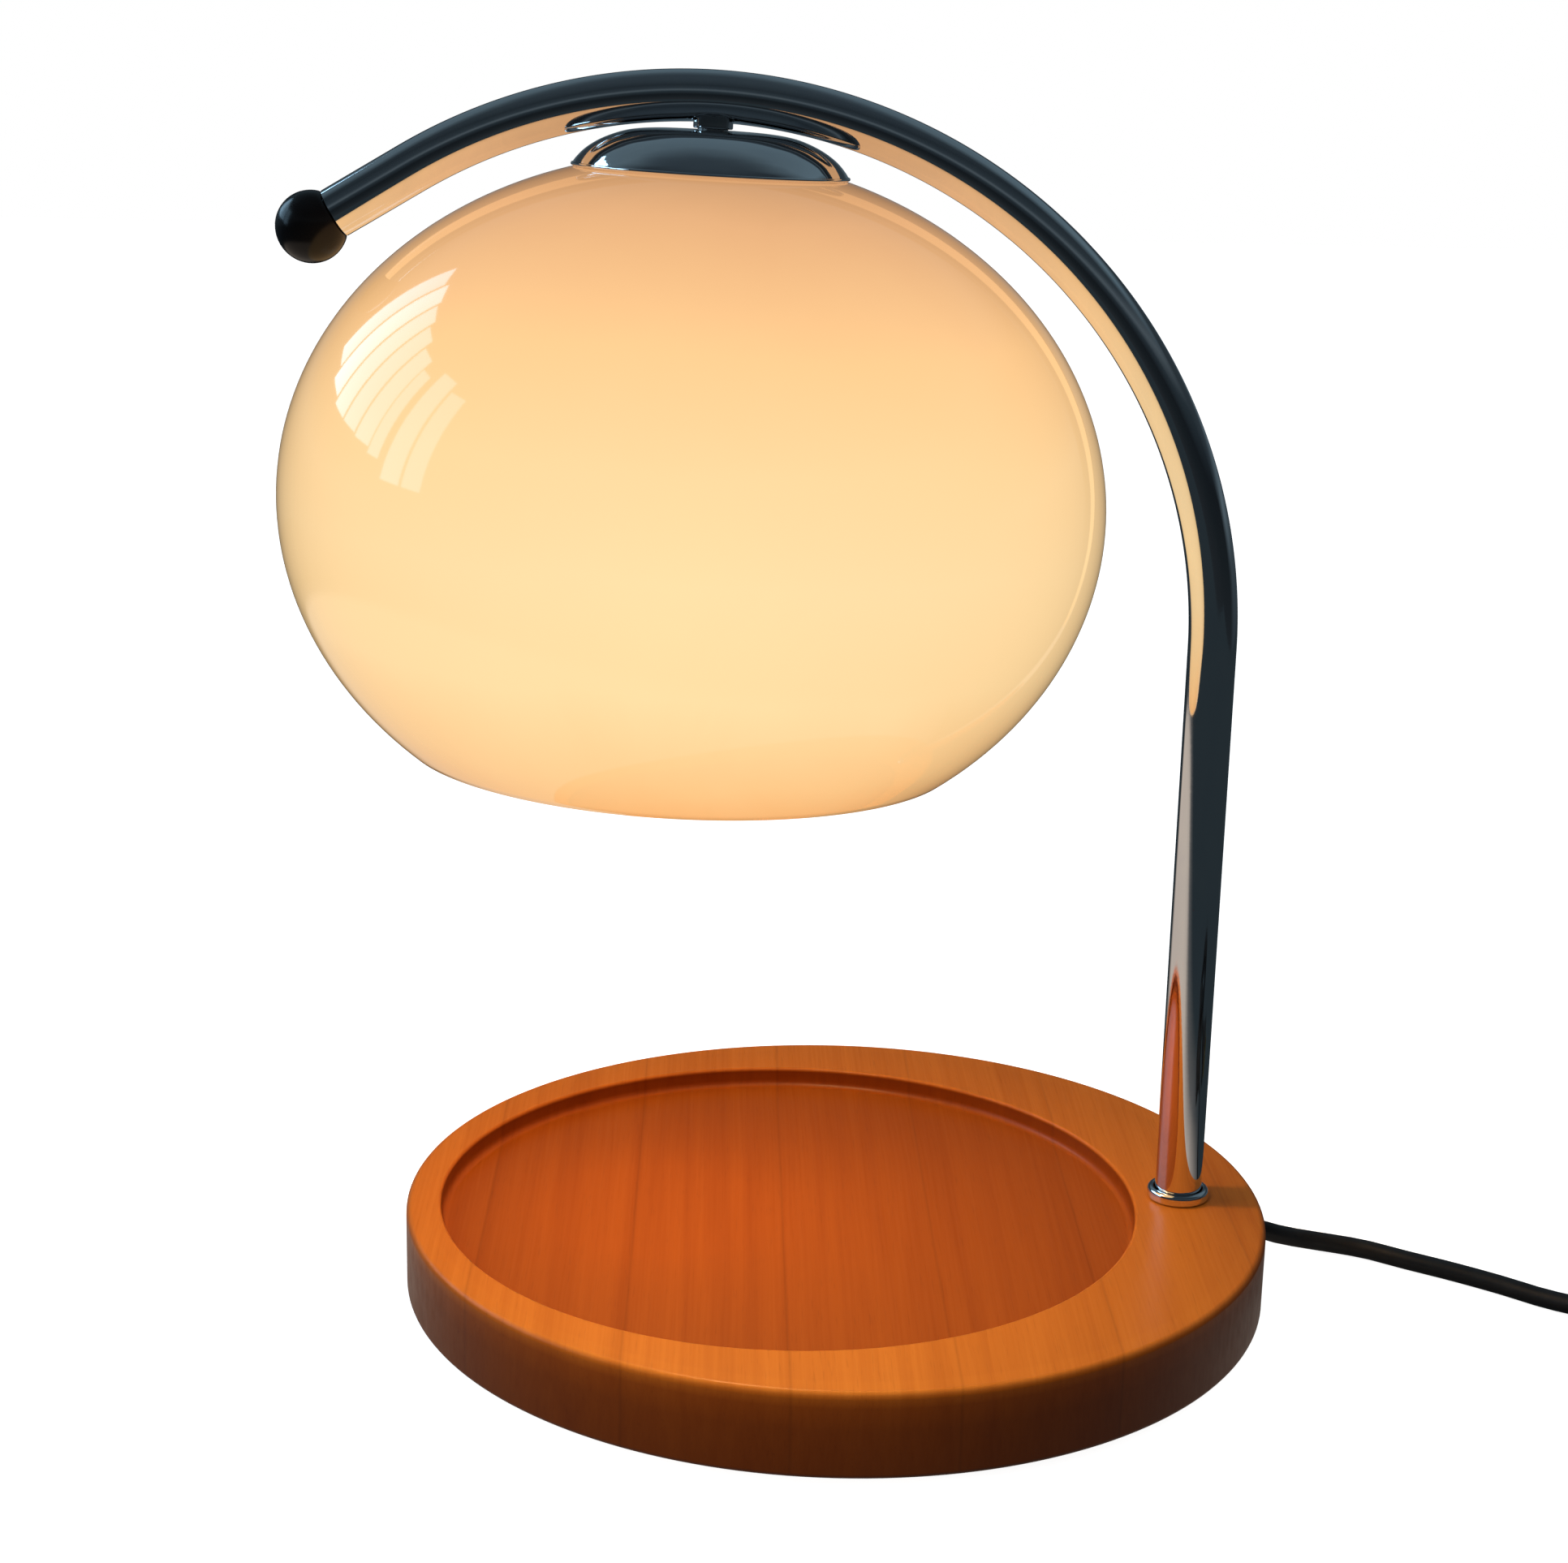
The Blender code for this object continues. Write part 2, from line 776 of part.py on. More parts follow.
def inner_screw_hole(bm, place):
    """A hole for a screw whose head is sunk in a block under the wood."""
    seat = inner_seat() + gap
    x, y = place
    turned(bm, [(0, pocket_ceiling), (screw_radius + gap, pocket_ceiling), (screw_radius + gap, seat),
                (screw_head_radius + gap / 2, seat), (screw_head_radius + gap / 2, clamp_bottom - overrun),
                (0, clamp_bottom - overrun)], fine_sides, (x, y, 0))


def inner_seat():
    return clamp_bottom + gap + screw_head_height


def terminal_block():
    low_x = block_offset - block_length / 2
    high_x = block_offset + block_length / 2

    def body(bm):
        block(bm, (low_x, block_low_y, clamp_bottom), (high_x, block_high_y, pocket_ceiling - gap))

    def holes(bm):
        mouth = high_x + overrun
        end = high_x - block_hole_depth
        for radius, y, height in ((cord_hole, outlet_y, lead_height),
                                  (wire_radius + gap, wire_spread, wire_height),
                                  (wire_radius + gap, -wire_spread, wire_height)):
            turned_along_x(bm, [(0, mouth), (radius, mouth), (radius, end), (0, end)], fine_sides,
                           (0, y, height))
        inner_screw_hole(bm, block_screw_place())

    item = solid("terminal_block", ceramic, body, place=(base_x, 0, 0))
    cut(item, holes, "block_hole_cutter")


def inner_screws():
    for name, place in (("clamp_screw", clamp_screw_place()), ("block_screw", block_screw_place())):
        solid(name, steel,
              lambda bm: screw(bm, place, inner_seat(), recess_floor - inner_screw_tip - inner_seat()),
              place=(base_x, 0, 0))


# Tube, ball and wires

def arch_point(turn, radius=arch_radius):
    """A point of the arch's plane at an angle from +X round the arch's centre."""
    return Vector((arch_x + radius * math.cos(turn), 0, arch_height + radius * math.sin(turn)))


def tail_point(onward):
    """A point of the straight tail, at a distance past the end of the arch."""
    return arch_point(arch_sweep) + onward * Vector((-math.sin(arch_sweep), 0, math.cos(arch_sweep)))


def tube_path(extra):
    """The centreline of the pole, the arch and its tail; extra lengthens both ends."""
    points = [Vector((pole_x, 0, tube_bottom - extra)), Vector((pole_x, 0, arch_height / 2))]
    points += [arch_point(arch_sweep * step / arch_steps) for step in range(arch_steps + 1)]
    return points + [tail_point(arch_tail + extra)]


def shade_frame():
    """The shade's axis as an empty: its origin is the glass's centre and its Z the way to the arch."""
    empty = bpy.data.objects.new("shade_axis", None)
    bpy.context.collection.objects.link(empty)
    empty.location = arch_point(math.pi / 2 - shade_lean, arch_centre_drop)
    empty.rotation_euler = (0, shade_lean, 0)
    return empty


def shade_matrix():
    place = arch_point(math.pi / 2 - shade_lean, arch_centre_drop)
    return Matrix.Translation(place) @ Matrix.Rotation(shade_lean, 4, "Y")


def arch_tube():
    def outside(bm):
        swept(bm, tube_path(0), tube_radius, fine_sides)

    def boss(bm):
        cylinder(bm, boss_radius, boss_bottom, arch_underside + 2 * tube_wall)
        bm.transform(shade_matrix())

    def bore(bm):
        swept(bm, tube_path(overrun), tube_bore, fine_sides)

    def boss_bore(bm):
        cylinder(bm, stem_hole, boss_bottom - overrun, arch_underside + 2 * tube_wall)
        bm.transform(shade_matrix())

    tube = solid("arch_tube", chrome, outside)
    cut(tube, boss, "boss_joiner", "UNION")
    cut(tube, bore, "bore_cutter")
    cut(tube, boss_bore, "boss_bore_cutter")


def end_ball():
    """The ball: a plug in the tube's bore, a flat against its end face and the round."""
    plug = tube_bore - gap
    start = math.degrees(math.asin(ball_flat / ball_radius))
    outline = [(0, ball_flat + ball_plug_length), (plug, ball_flat + ball_plug_length), (plug, ball_flat)]
    outline += arc((0, 0), ball_radius, start, -90, 9)
    outline[-1] = (0, -ball_radius)
    ball = solid("end_ball", black_gloss, lambda bm: turned(bm, outline, small_sides))
    ball.location = tail_point(ball_place)
    ball.rotation_euler = (0, math.pi - arch_sweep, 0)


def wires():
    """Two wires from the terminal block, through the pole, the arch and the stem, to the lampholder."""
    start = base_x + block_offset + block_length / 2 - block_hole_depth + gap
    bends = [math.radians(90 * step / 4) for step in range(1, 5)]
    low = [Vector((start, 0, wire_height)), Vector((pole_x - wire_bend, 0, wire_height))]
    low += [Vector((pole_x - wire_bend + wire_bend * math.sin(turn), 0,
                    wire_height + wire_bend - wire_bend * math.cos(turn))) for turn in bends]
    low.append(Vector((pole_x, 0, arch_height / 2)))
    end = math.pi / 2 - shade_lean - wire_bend / arch_radius
    steps = arch_steps // 2
    low += [arch_point(end * step / steps) for step in range(steps + 1)]
    place = shade_matrix()
    corner = [Vector((wire_bend - wire_bend * math.sin(turn), 0,
                      shade_drop - wire_bend + wire_bend * math.cos(turn))) for turn in bends]
    tail_low = contact_stud_top + gap
    for name, side, look in (("wire_live", 1, wire_brown), ("wire_neutral", -1, wire_blue)):
        points = [point + Vector((0, side * wire_spread, 0)) for point in low]
        points += [place @ (point + Vector((0, side * wire_spread, 0))) for point in corner]
        for share in wire_spread_shares:
            blend = share * share * (3 - 2 * share)
            across = wire_spread + (pin_spread - wire_spread) * blend
            points.append(place @ Vector((0, side * across, stem_bottom + (tail_low - stem_bottom) * share)))
        cord_curve(name, look, points, wire_radius, 1)


# Cap, glass and its fixings, in the shade's own frame

def stem(parent):
    solid("stem", steel, lambda bm: ring(bm, stem_bore, stem_radius, stem_bottom, stem_top), parent)


def cap(parent):
    seat_inner = cap_seat_radius - cap_wall
    outer_seat = glass_outer(cap_seat_radius) + gap
    inner_seat = glass_outer(seat_inner) + gap
    inner_height = cap_top - cap_wall - inner_seat
    outline = [(stem_hole, cap_top)]
    outline += [(cap_seat_radius * reach, outer_seat + cap_height * rise)
                for reach, rise in cap_profile_shares]
    outline += [(seat_inner * reach, inner_seat + inner_height * rise)
                for reach, rise in reversed(cap_profile_shares)]
    outline.append((stem_hole, cap_top - cap_wall))
    solid("cap", chrome, lambda bm: turned(bm, outline, glass_sides), parent)


def cap_nut(parent):
    solid("cap_nut", steel,
          lambda bm: nut(bm, stem_nut_width, stem_hole, cap_nut_top - stem_nut_height, cap_nut_top),
          parent)


def glass_shade(parent):
    """The glass: an ellipse's wall between the neck and the lower opening, with a round lower rim."""
    inner_radius = shade_radius - glass_wall
    inner_half = shade_half_height - glass_wall
    flange = math.acos(seal_flange_radius / shade_radius)
    last = -math.acos(opening_radius / shade_radius)
    count = 10
    turns = [math.acos(neck_radius / shade_radius)]
    turns += [flange + (last - flange) * step / count for step in range(count + 1)]
    outer = [(shade_radius * math.cos(turn), shade_half_height * math.sin(turn)) for turn in turns]
    inner = [(inner_radius * math.cos(turn), inner_half * math.sin(turn)) for turn in reversed(turns)]
    rim = ((outer[-1][0] + inner[0][0]) / 2, min(outer[-1][1], inner[0][1]) - glass_rim_round)
    solid("glass_shade", opal_glass, lambda bm: turned(bm, outer + [rim] + inner, glass_sides), parent)


def glass_seal(parent):
    """The silicone ring that grips the edge of the glass's neck, with a flange on each side."""
    throat = neck_radius * (shade_radius - glass_wall) / shade_radius - gap
    flange = seal_flange_radius
    neck_top = shade_half_height * math.sin(math.acos(neck_radius / shade_radius))
    neck_low = (shade_half_height - glass_wall) * math.sin(math.acos(neck_radius / shade_radius))
    lip = neck_top + gap + seal_thickness
    outline = [(seal_inner_radius, lip), (throat, lip),
               (flange, glass_outer(flange) + gap + seal_thickness), (flange, glass_outer(flange) + gap),
               (neck_radius, neck_top + gap), (throat, neck_top + gap), (throat, neck_low - gap),
               (flange, glass_inner(flange) - gap), (flange, seal_bottom), (seal_inner_radius, seal_bottom)]
    solid("glass_seal", silicone, lambda bm: turned(bm, outline, fitting_sides), parent)


def retainer_disc(parent):
    solid("retainer_disc", steel,
          lambda bm: ring(bm, stem_hole, retainer_radius, retainer_bottom, retainer_top, fitting_sides),
          parent)


def retainer_nut(parent):
    solid("retainer_nut", steel,
          lambda bm: nut(bm, stem_nut_width, stem_hole, retainer_nut_top - stem_nut_height,
                         retainer_nut_top), parent)


# Lampholder, in the shade's own frame

def holder_bracket(parent):
    def sheet(bm):
        ring(bm, stem_hole, bracket_radius, bracket_top - bracket_thickness, bracket_top)

    def holes(bm):
        for side in (-1, 1):
            cylinder(bm, holder_screw_radius + gap, holder_top, bracket_top + overrun,
                     (side * holder_screw_circle, 0), fine_sides)

    item = solid("holder_bracket", steel, sheet, parent)
    cut(item, holes, "bracket_hole_cutter")


def holder_screws(parent):
    """Two screws that point down from the bracket into the lampholder."""
    seat = bracket_top + gap
    radius = holder_screw_radius
    head = holder_screw_head
    outline = [(0, seat + radius), (holder_screw_crown, seat + radius), (head, seat + radius / 2),
               (head, seat), (radius, seat), (radius, seat - holder_screw_length),
               (0, seat - holder_screw_length)]
    for number, side in enumerate((-1, 1), 1):
        solid(f"holder_screw_{number}", steel,
              lambda bm: turned(bm, outline, fine_sides, (side * holder_screw_circle, 0, 0)), parent)


def holder_nut(parent):
    high = bracket_top - bracket_thickness - gap
    solid("holder_nut", steel,
          lambda bm: nut(bm, stem_nut_width, stem_hole, high - stem_nut_height, high), parent)


def slot(bm, radius, low, high):
    """Two arc slots for the bulb's pins, from their locked place back through the twist."""
    for start in (90, -90):
        end = start - math.degrees(twist)
        first = (0, math.copysign(pin_spread, start))
        last = (pin_spread * math.cos(math.radians(end)), pin_spread * math.sin(math.radians(end)))
        plan = arc((0, 0), pin_spread + radius, start, end, 4)
        plan += arc(last, radius, end, end - 180, 4)[1:-1]
        plan += arc((0, 0), pin_spread - radius, end, start, 4)
        plan += arc(first, radius, start + 180, start, 4)[1:-1]
        prism(bm, [(plan, low), (plan, high)])


def lampholder(parent):
    def body(bm):
        cylinder(bm, holder_radius, holder_bottom, holder_top, sides=fitting_sides)

    def cavity(bm):
        cylinder(bm, holder_cavity_radius, cavity_floor, holder_top + overrun)

    def channels(bm):
        slot(bm, pin_head_radius + 2 * gap, holder_bottom + holder_plate, channel_roof)

    def necks(bm):
        slot(bm, pin_neck_radius + gap, holder_bottom - overrun, channel_roof - contact_thickness)

    def entries(bm):
        for side in (1, -1):
            turn = side * math.pi / 2 - twist
            cylinder(bm, pin_head_radius + gap, holder_bottom - overrun, channel_roof - contact_thickness,
                     (pin_spread * math.cos(turn), pin_spread * math.sin(turn)))

    def studs(bm):
        for side in (1, -1):
            cylinder(bm, contact_stud_radius + gap, channel_roof - contact_thickness, cavity_floor + overrun,
                     (0, side * pin_spread), fine_sides)
            cylinder(bm, holder_screw_radius + gap, holder_top - holder_screw_length, holder_top + overrun,
                     (side * holder_screw_circle, 0), fine_sides)

    item = solid("lampholder", ceramic, body, parent)
    cut(item, cavity, "cavity_cutter")
    cut(item, channels, "channel_cutter")
    cut(item, necks, "neck_cutter")
    cut(item, entries, "entry_cutter")
    cut(item, studs, "stud_cutter")


def lamp_contacts(parent):
    top = contact_bottom + contact_thickness
    outline = [(0, contact_stud_top), (contact_stud_radius, contact_stud_top), (contact_stud_radius, top),
               (pin_head_radius, top), (pin_head_radius, contact_bottom), (0, contact_bottom)]
    for name, side in (("contact_live", 1), ("contact_neutral", -1)):
        solid(name, brass, lambda bm: turned(bm, outline, fine_sides, (0, side * pin_spread, 0)), parent)


# Reflector bulb, in the shade's own frame; it turns about the shade's axis

def bulb_outer(share):
    """The reflector's outer radius at a share of its length from its neck to its face."""
    return bulb_neck_radius + (bulb_face_radius - bulb_neck_radius) * share ** bulb_flare


def bulb_base(parent):
    low = bulb_shoulder - bulb_core_length
    outline = [(0, bulb_top), (bulb_core_radius, bulb_top), (bulb_neck_radius, bulb_top - bulb_wall),
               (bulb_neck_radius, bulb_shoulder), (bulb_core_radius, bulb_shoulder),
               (bulb_core_radius, low), (0, low)]

    def sockets(bm):
        for side in (1, -1):
            cylinder(bm, pin_neck_radius + gap, bulb_shoulder, bulb_top + overrun, (0, side * pin_spread),
                     fine_sides)

    item = solid("bulb_base", ceramic, lambda bm: turned(bm, outline, fitting_sides), parent)
    cut(item, sockets, "socket_cutter")


def bulb_pins(parent):
    neck_top = pin_top - pin_head_height
    outline = [(0, pin_top), (pin_head_radius, pin_top), (pin_head_radius, neck_top),
               (pin_neck_radius, neck_top), (pin_neck_radius, bulb_shoulder + gap),
               (0, bulb_shoulder + gap)]
    for name, side in (("bulb_pin_live", 1), ("bulb_pin_neutral", -1)):
        solid(name, steel, lambda bm: turned(bm, outline, fine_sides, (0, side * pin_spread, 0)), parent)


def bulb_reflector(parent):
    top = bulb_shoulder - gap
    count = 6
    shares = [step / count for step in range(count + 1)]
    outer = [(bulb_outer(share), top - bulb_length * share) for share in shares]
    inner = [(radius - bulb_wall, height) for radius, height in reversed(outer)]
    solid("bulb_reflector", mirror_coat, lambda bm: turned(bm, outer + inner, fitting_sides), parent)


def bulb_lens(parent):
    share = (bulb_length - lens_thickness) / bulb_length
    radius = bulb_outer(share) - bulb_wall - gap
    solid("bulb_lens", clear_glass,
          lambda bm: cylinder(bm, radius, bulb_face, bulb_face + lens_thickness, sides=fitting_sides),
          parent)


def bulb_capsule(parent):
    top = bulb_shoulder - bulb_core_length - gap
    low = top - capsule_length
    outline = [(0, top), (capsule_radius, top), (capsule_radius, low + capsule_radius)]
    outline += arc((0, low + capsule_radius), capsule_radius, 0, -90, 4)[1:-1] + [(0, low)]
    solid("bulb_capsule", clear_glass, lambda bm: turned(bm, outline, small_sides), parent)


# Cord, dimmer, coil and plug. Their places on the table are chosen by hand.

dimmer_place = (0.1936, -0.0888, 0)
dimmer_heading = math.radians(-80)
coil_place = (0.2456, -0.1250, 0)
coil_start = math.radians(-100)
plug_place = (0.2231, -0.0371, 0)
plug_heading = math.radians(100)

cord_to_dimmer_route = (
    (0.1112, 0.0144, 0.0048),
    (0.1170, 0.0150, 0.0034), (0.1226, 0.0149, 0.0026), (0.1309, 0.0124, 0.0022),
    (0.1388, 0.0073, 0.0021), (0.1481, 0.0013, 0.0021), (0.1570, -0.0052, 0.0021),
    (0.1642, -0.0112, 0.0021), (0.1712, -0.0171, 0.0028), (0.1780, -0.0248, 0.0052))
cord_to_coil_route = (
    (0.2051, -0.1500, 0.0050), (0.2112, -0.1568, 0.0030), (0.2195, -0.1602, 0.0022),
    (0.2290, -0.1605, 0.0021))
cord_to_plug_route = (
    (0.2382, -0.0862, 0.0058), (0.2308, -0.0782, 0.0048), (0.2279, -0.0690, 0.0054))


def place_on_dimmer():
    empty = bpy.data.objects.new("dimmer_axis", None)
    bpy.context.collection.objects.link(empty)
    empty.location = dimmer_place
    empty.rotation_euler = (0, 0, dimmer_heading)
    return empty


def heading(turn):
    return Vector((math.cos(turn), math.sin(turn), 0))


def dimmer_point(x, height):
    return Vector(dimmer_place) + heading(dimmer_heading) * x + Vector((0, 0, height))


def plug_point(x, height):
    return Vector(plug_place) + heading(plug_heading) * x + Vector((0, 0, height))


relief_tip = dimmer_length / 2 + gap + relief_length
dimmer_middle = dimmer_height / 2
plug_middle = plug_height / 2


def free_cord(name, start, start_way, route, end, end_way):
    """A cord that leaves start along start_way and ends at end along end_way, straight at both."""
    inner = [start + start_way * cord_diameter] + [Vector(point) for point in route]
    inner.append(end - end_way * cord_diameter)
    points = [start] + smooth_path(inner, 2.5 * cord_diameter) + [end]
    print(name, "length", round(path_length(points), 4), "points", len(points))
    cord_curve(name, black_matt, points, cord_radius, 2)


def cord_to_dimmer():
    """From the outlet, across the table to the dimmer's first strain relief."""
    start = Vector((base_x + outlet_x() + gap, outlet_y, outlet_height))
    end = dimmer_point(-relief_tip - gap, dimmer_middle)
    free_cord("cord_to_dimmer", start, heading(0), cord_to_dimmer_route, end, heading(dimmer_heading))


def coil_points():
    """The coil: turns that spiral in on the table and out again one layer up."""
    total = 2 * coil_turns
    count = round(total * loop_points)
    points = []
    for index in range(count + 1):
        turns = total * index / count
        radius = coil_inner_radius + coil_pitch * abs(turns - coil_turns)
        climb = min(max((turns - coil_turns) / coil_climb_turns + 0.5, 0), 1)
        climb = climb * climb * (3 - 2 * climb)
        angle = coil_start + math.tau * turns
        points.append(Vector((coil_place[0] + radius * math.cos(angle),
                              coil_place[1] + radius * math.sin(angle),
                              cord_radius + coil_layer * climb)))
    first = (points[0] - points[1]).normalized()
    last = (points[-1] - points[-2]).normalized()
    return [points[0] + first * cord_diameter] + points + [points[-1] + last * cord_diameter]


def least_gap(points):
    """The least space between stretches of a coil that lie at least half a turn apart."""
    apart = loop_points // 2
    least = min((points[first] - points[second]).length
                for first in range(len(points)) for second in range(first + apart, len(points)))
    return least - cord_diameter


def cord_coil():
    points = coil_points()
    print("cord_coil length", round(path_length(points), 4), "least gap in mm",
          round(least_gap(points) * 1000, 3))
    cord_curve("cord_coil", black_matt, points, cord_radius, 1)
    return points


def cord_to_coil(coil):
    """From the dimmer's second strain relief, down to the table and into the coil."""
    start = dimmer_point(relief_tip + gap, dimmer_middle)
    way = (coil[1] - coil[0]).normalized()
    free_cord("cord_to_coil", start, heading(dimmer_heading), cord_to_coil_route, coil[0] - way * gap, way)


def cord_to_plug(coil):
    """From the coil's top turn, down to the table and into the plug's tail."""
    way = (coil[-1] - coil[-2]).normalized()
    end = plug_point(-plug_tail - gap, plug_middle)
    free_cord("cord_to_plug", coil[-1] + way * gap, way, cord_to_plug_route, end, heading(plug_heading))


def dimmer_shell(bm, joint, face):
    """A dimmer half's outside, from its joint to its outer face, whose edge is drawn in."""
    edge = math.copysign(dimmer_edge_round, face - joint)
    levels = [(joint, 0)]
    levels += [(face - edge * (1 - share), dimmer_edge_round * share ** 2) for share in dimmer_edge_shares]
    prism(bm, [(rounded_plan(dimmer_length - 2 * inset, dimmer_width - 2 * inset, dimmer_corner - inset),
                height) for height, inset in levels])


def dimmer_inside(bm, low, high):
    plan = rounded_plan(dimmer_length - 2 * dimmer_wall, dimmer_width - 2 * dimmer_wall,
                        dimmer_corner - dimmer_wall)
    prism(bm, [(plan, low), (plan, high)])


def relief_holes(bm):
    """The round holes in the two ends, half in each shell."""
    for side in (-1, 1):
        low = side * (dimmer_length / 2 - dimmer_wall) - overrun
        high = low + dimmer_wall + 2 * overrun
        hole = relief_neck_radius + gap
        turned_along_x(bm, [(0, high), (hole, high), (hole, low), (0, low)], small_sides,
                       (0, 0, dimmer_middle))


def dimmer_lower(parent):
    high = dimmer_middle - gap / 2

    def bosses(bm):
        for side in (-1, 1):
            cylinder(bm, dimmer_boss_radius, dimmer_wall / 2, high, (side * dimmer_screw_offset, 0))
            for across in (-1, 1):
                cylinder(bm, board_post_radius, dimmer_wall / 2, board_height - gap,
                         (side * board_post_x, across * board_post_y), fine_sides)

    def holes(bm):
        for side in (-1, 1):
            head = dimmer_head_radius + gap
            shank = dimmer_screw_radius + gap
            seat = dimmer_head_height + 3 * gap
            turned(bm, [(0, high + overrun), (shank, high + overrun), (shank, seat), (head, seat),
                        (head, -overrun), (0, -overrun)], fine_sides, (side * dimmer_screw_offset, 0, 0))
        relief_holes(bm)

    item = solid("dimmer_lower", black_matt, lambda bm: dimmer_shell(bm, high, 0), parent)
    cut(item, lambda bm: dimmer_inside(bm, dimmer_wall, high + overrun), "lower_hollow_cutter")
    cut(item, bosses, "lower_boss_joiner", "UNION")
    cut(item, holes, "lower_hole_cutter")


def dimmer_upper(parent):
    low = dimmer_middle + gap / 2
    ceiling = dimmer_height - dimmer_wall

    def bosses(bm):
        for side in (-1, 1):
            cylinder(bm, dimmer_boss_radius, low, ceiling + dimmer_wall / 2,
                     (side * dimmer_screw_offset, 0))

    def holes(bm):
        cylinder(bm, dial_stem_radius + gap, ceiling - overrun, dimmer_height + overrun)
        for side in (-1, 1):
            cylinder(bm, dimmer_screw_radius + gap, low - overrun, ceiling - gap,
                     (side * dimmer_screw_offset, 0), fine_sides)
        relief_holes(bm)

    item = solid("dimmer_upper", black_matt,
                 lambda bm: dimmer_shell(bm, low, dimmer_height), parent)
    cut(item, lambda bm: dimmer_inside(bm, low - overrun, ceiling), "upper_hollow_cutter")
    cut(item, bosses, "upper_boss_joiner", "UNION")
    cut(item, holes, "upper_hole_cutter")


def dimmer_board(parent):
    """The board with its turned resistor, which has a blind bore for the dial's stem."""
    low = board_height + board_thickness
    high = low + pot_height
    bore = dial_stem_radius + gap
    outline = [(0, low + pot_floor), (bore, low + pot_floor), (bore, high), (pot_radius, high),
               (pot_radius, low - board_thickness / 2), (0, low - board_thickness / 2)]
    board = solid("dimmer_board", board_green,
                  lambda bm: block(bm, (-board_length / 2, -board_width / 2, board_height),
                                   (board_length / 2, board_width / 2, low)), parent)
    cut(board, lambda bm: turned(bm, outline, small_sides), "resistor_joiner", "UNION")


def dimmer_dial(parent):
    """The dial, with grip ribs round its edge and a raised mark, on a stem into the resistor."""
    stem_low = board_height + board_thickness + gap + pot_floor
    low = dimmer_height + gap
    high = low + dial_height

    def body(bm):
        turned(bm, [(0, low + dial_height / 2), (dial_stem_radius, low + dial_height / 2),
                    (dial_stem_radius, stem_low), (0, stem_low)], small_sides)

    def ribbed(reach):
        points = []
        for step in range(2 * dial_ribs):
            turn = math.tau * step / (2 * dial_ribs)
            radius = reach - dial_rib_depth * (step % 2)
            points.append((radius * math.cos(turn), radius * math.sin(turn)))
        return points

    def knob(bm):
        prism(bm, [(ribbed(dial_radius), low), (ribbed(dial_radius), high - dial_rib_depth),
                   (ribbed(dial_radius - dial_edge_inset), high)])

    def mark(bm):
        inner, outer = dial_mark_shares
        block(bm, (dial_radius * inner, -dial_mark_width / 2, high - dial_mark_height),
              (dial_radius * outer, dial_mark_width / 2, high + dial_mark_height))

    item = solid("dimmer_dial", black_gloss, body, parent)
    cut(item, knob, "knob_joiner", "UNION")
    cut(item, mark, "mark_joiner", "UNION")


def dimmer_screws(parent):
    for number, side in enumerate((-1, 1), 1):
        solid(f"dimmer_screw_{number}", steel,
              lambda bm: screw(bm, (side * dimmer_screw_offset, 0), dimmer_head_height + 2 * gap,
                               dimmer_screw_length, dimmer_screw_radius, dimmer_head_radius,
                               dimmer_head_height), parent)


def dimmer_reliefs(parent):
    """A tapered relief at each end, with a neck in the shells' hole and a flange inside it."""
    wall_in = dimmer_length / 2 - dimmer_wall - gap
    face = dimmer_length / 2 + gap
    outline = [(0, face + relief_length), (relief_tip_radius, face + relief_length), (relief_radius, face),
               (relief_neck_radius, face), (relief_neck_radius, wall_in), (relief_flange_radius, wall_in),
               (relief_flange_radius, wall_in - relief_flange), (0, wall_in - relief_flange)]
    for name, turn in (("relief_lamp_side", math.pi), ("relief_plug_side", 0)):
        solid(name, rubber, lambda bm: turned_along_x(bm, outline, small_sides, (0, 0, 0)), parent,
              (0, 0, dimmer_middle), Matrix.Rotation(turn, 4, "Z"))


def plug_body():
    empty = bpy.data.objects.new("plug_axis", None)
    bpy.context.collection.objects.link(empty)
    empty.location = plug_place
    empty.rotation_euler = (0, 0, plug_heading)

    def body(bm):
        tail = rounded_plan(plug_tail_width, plug_tail_width, plug_corner)
        plans = [(tail, -plug_tail)]
        for place, wide, high in plug_profile_shares:
            plans.append((rounded_plan(plug_height * high, plug_width * wide, plug_corner),
                          plug_length * place))
        prism(bm, plans)
        bm.transform(Matrix.Translation((0, 0, plug_middle)) @ Matrix.Rotation(math.pi / 2, 4, "Y"))

    def sockets(bm):
        for side in (-1, 1):
            block(bm, (plug_length - blade_root - gap, side * blade_spread - blade_thickness / 2 - gap,
                       plug_middle - blade_width / 2 - gap),
                  (plug_length + overrun, side * blade_spread + blade_thickness / 2 + gap,
                   plug_middle + blade_width / 2 + gap))

    item = solid("plug_body", black_matt, body, empty)
    cut(item, sockets, "blade_socket_cutter")
    for number, side in enumerate((-1, 1), 1):
        middle = side * blade_spread
        solid(f"plug_blade_{number}", brass,
              lambda bm: block(bm, (plug_length - blade_root, middle - blade_thickness / 2,
                                    plug_middle - blade_width / 2),
                               (plug_length + blade_length, middle + blade_thickness / 2,
                                plug_middle + blade_width / 2)), empty)


# The whole lamp

base_disc()
base_cover()
feet()
cover_screws()
ballast_plate()
ballast_screws()
foot_ring()
clamp_nut()
cord_bush()
lead_inside()
cord_clamp()
terminal_block()
inner_screws()
arch_tube()
end_ball()
wires()

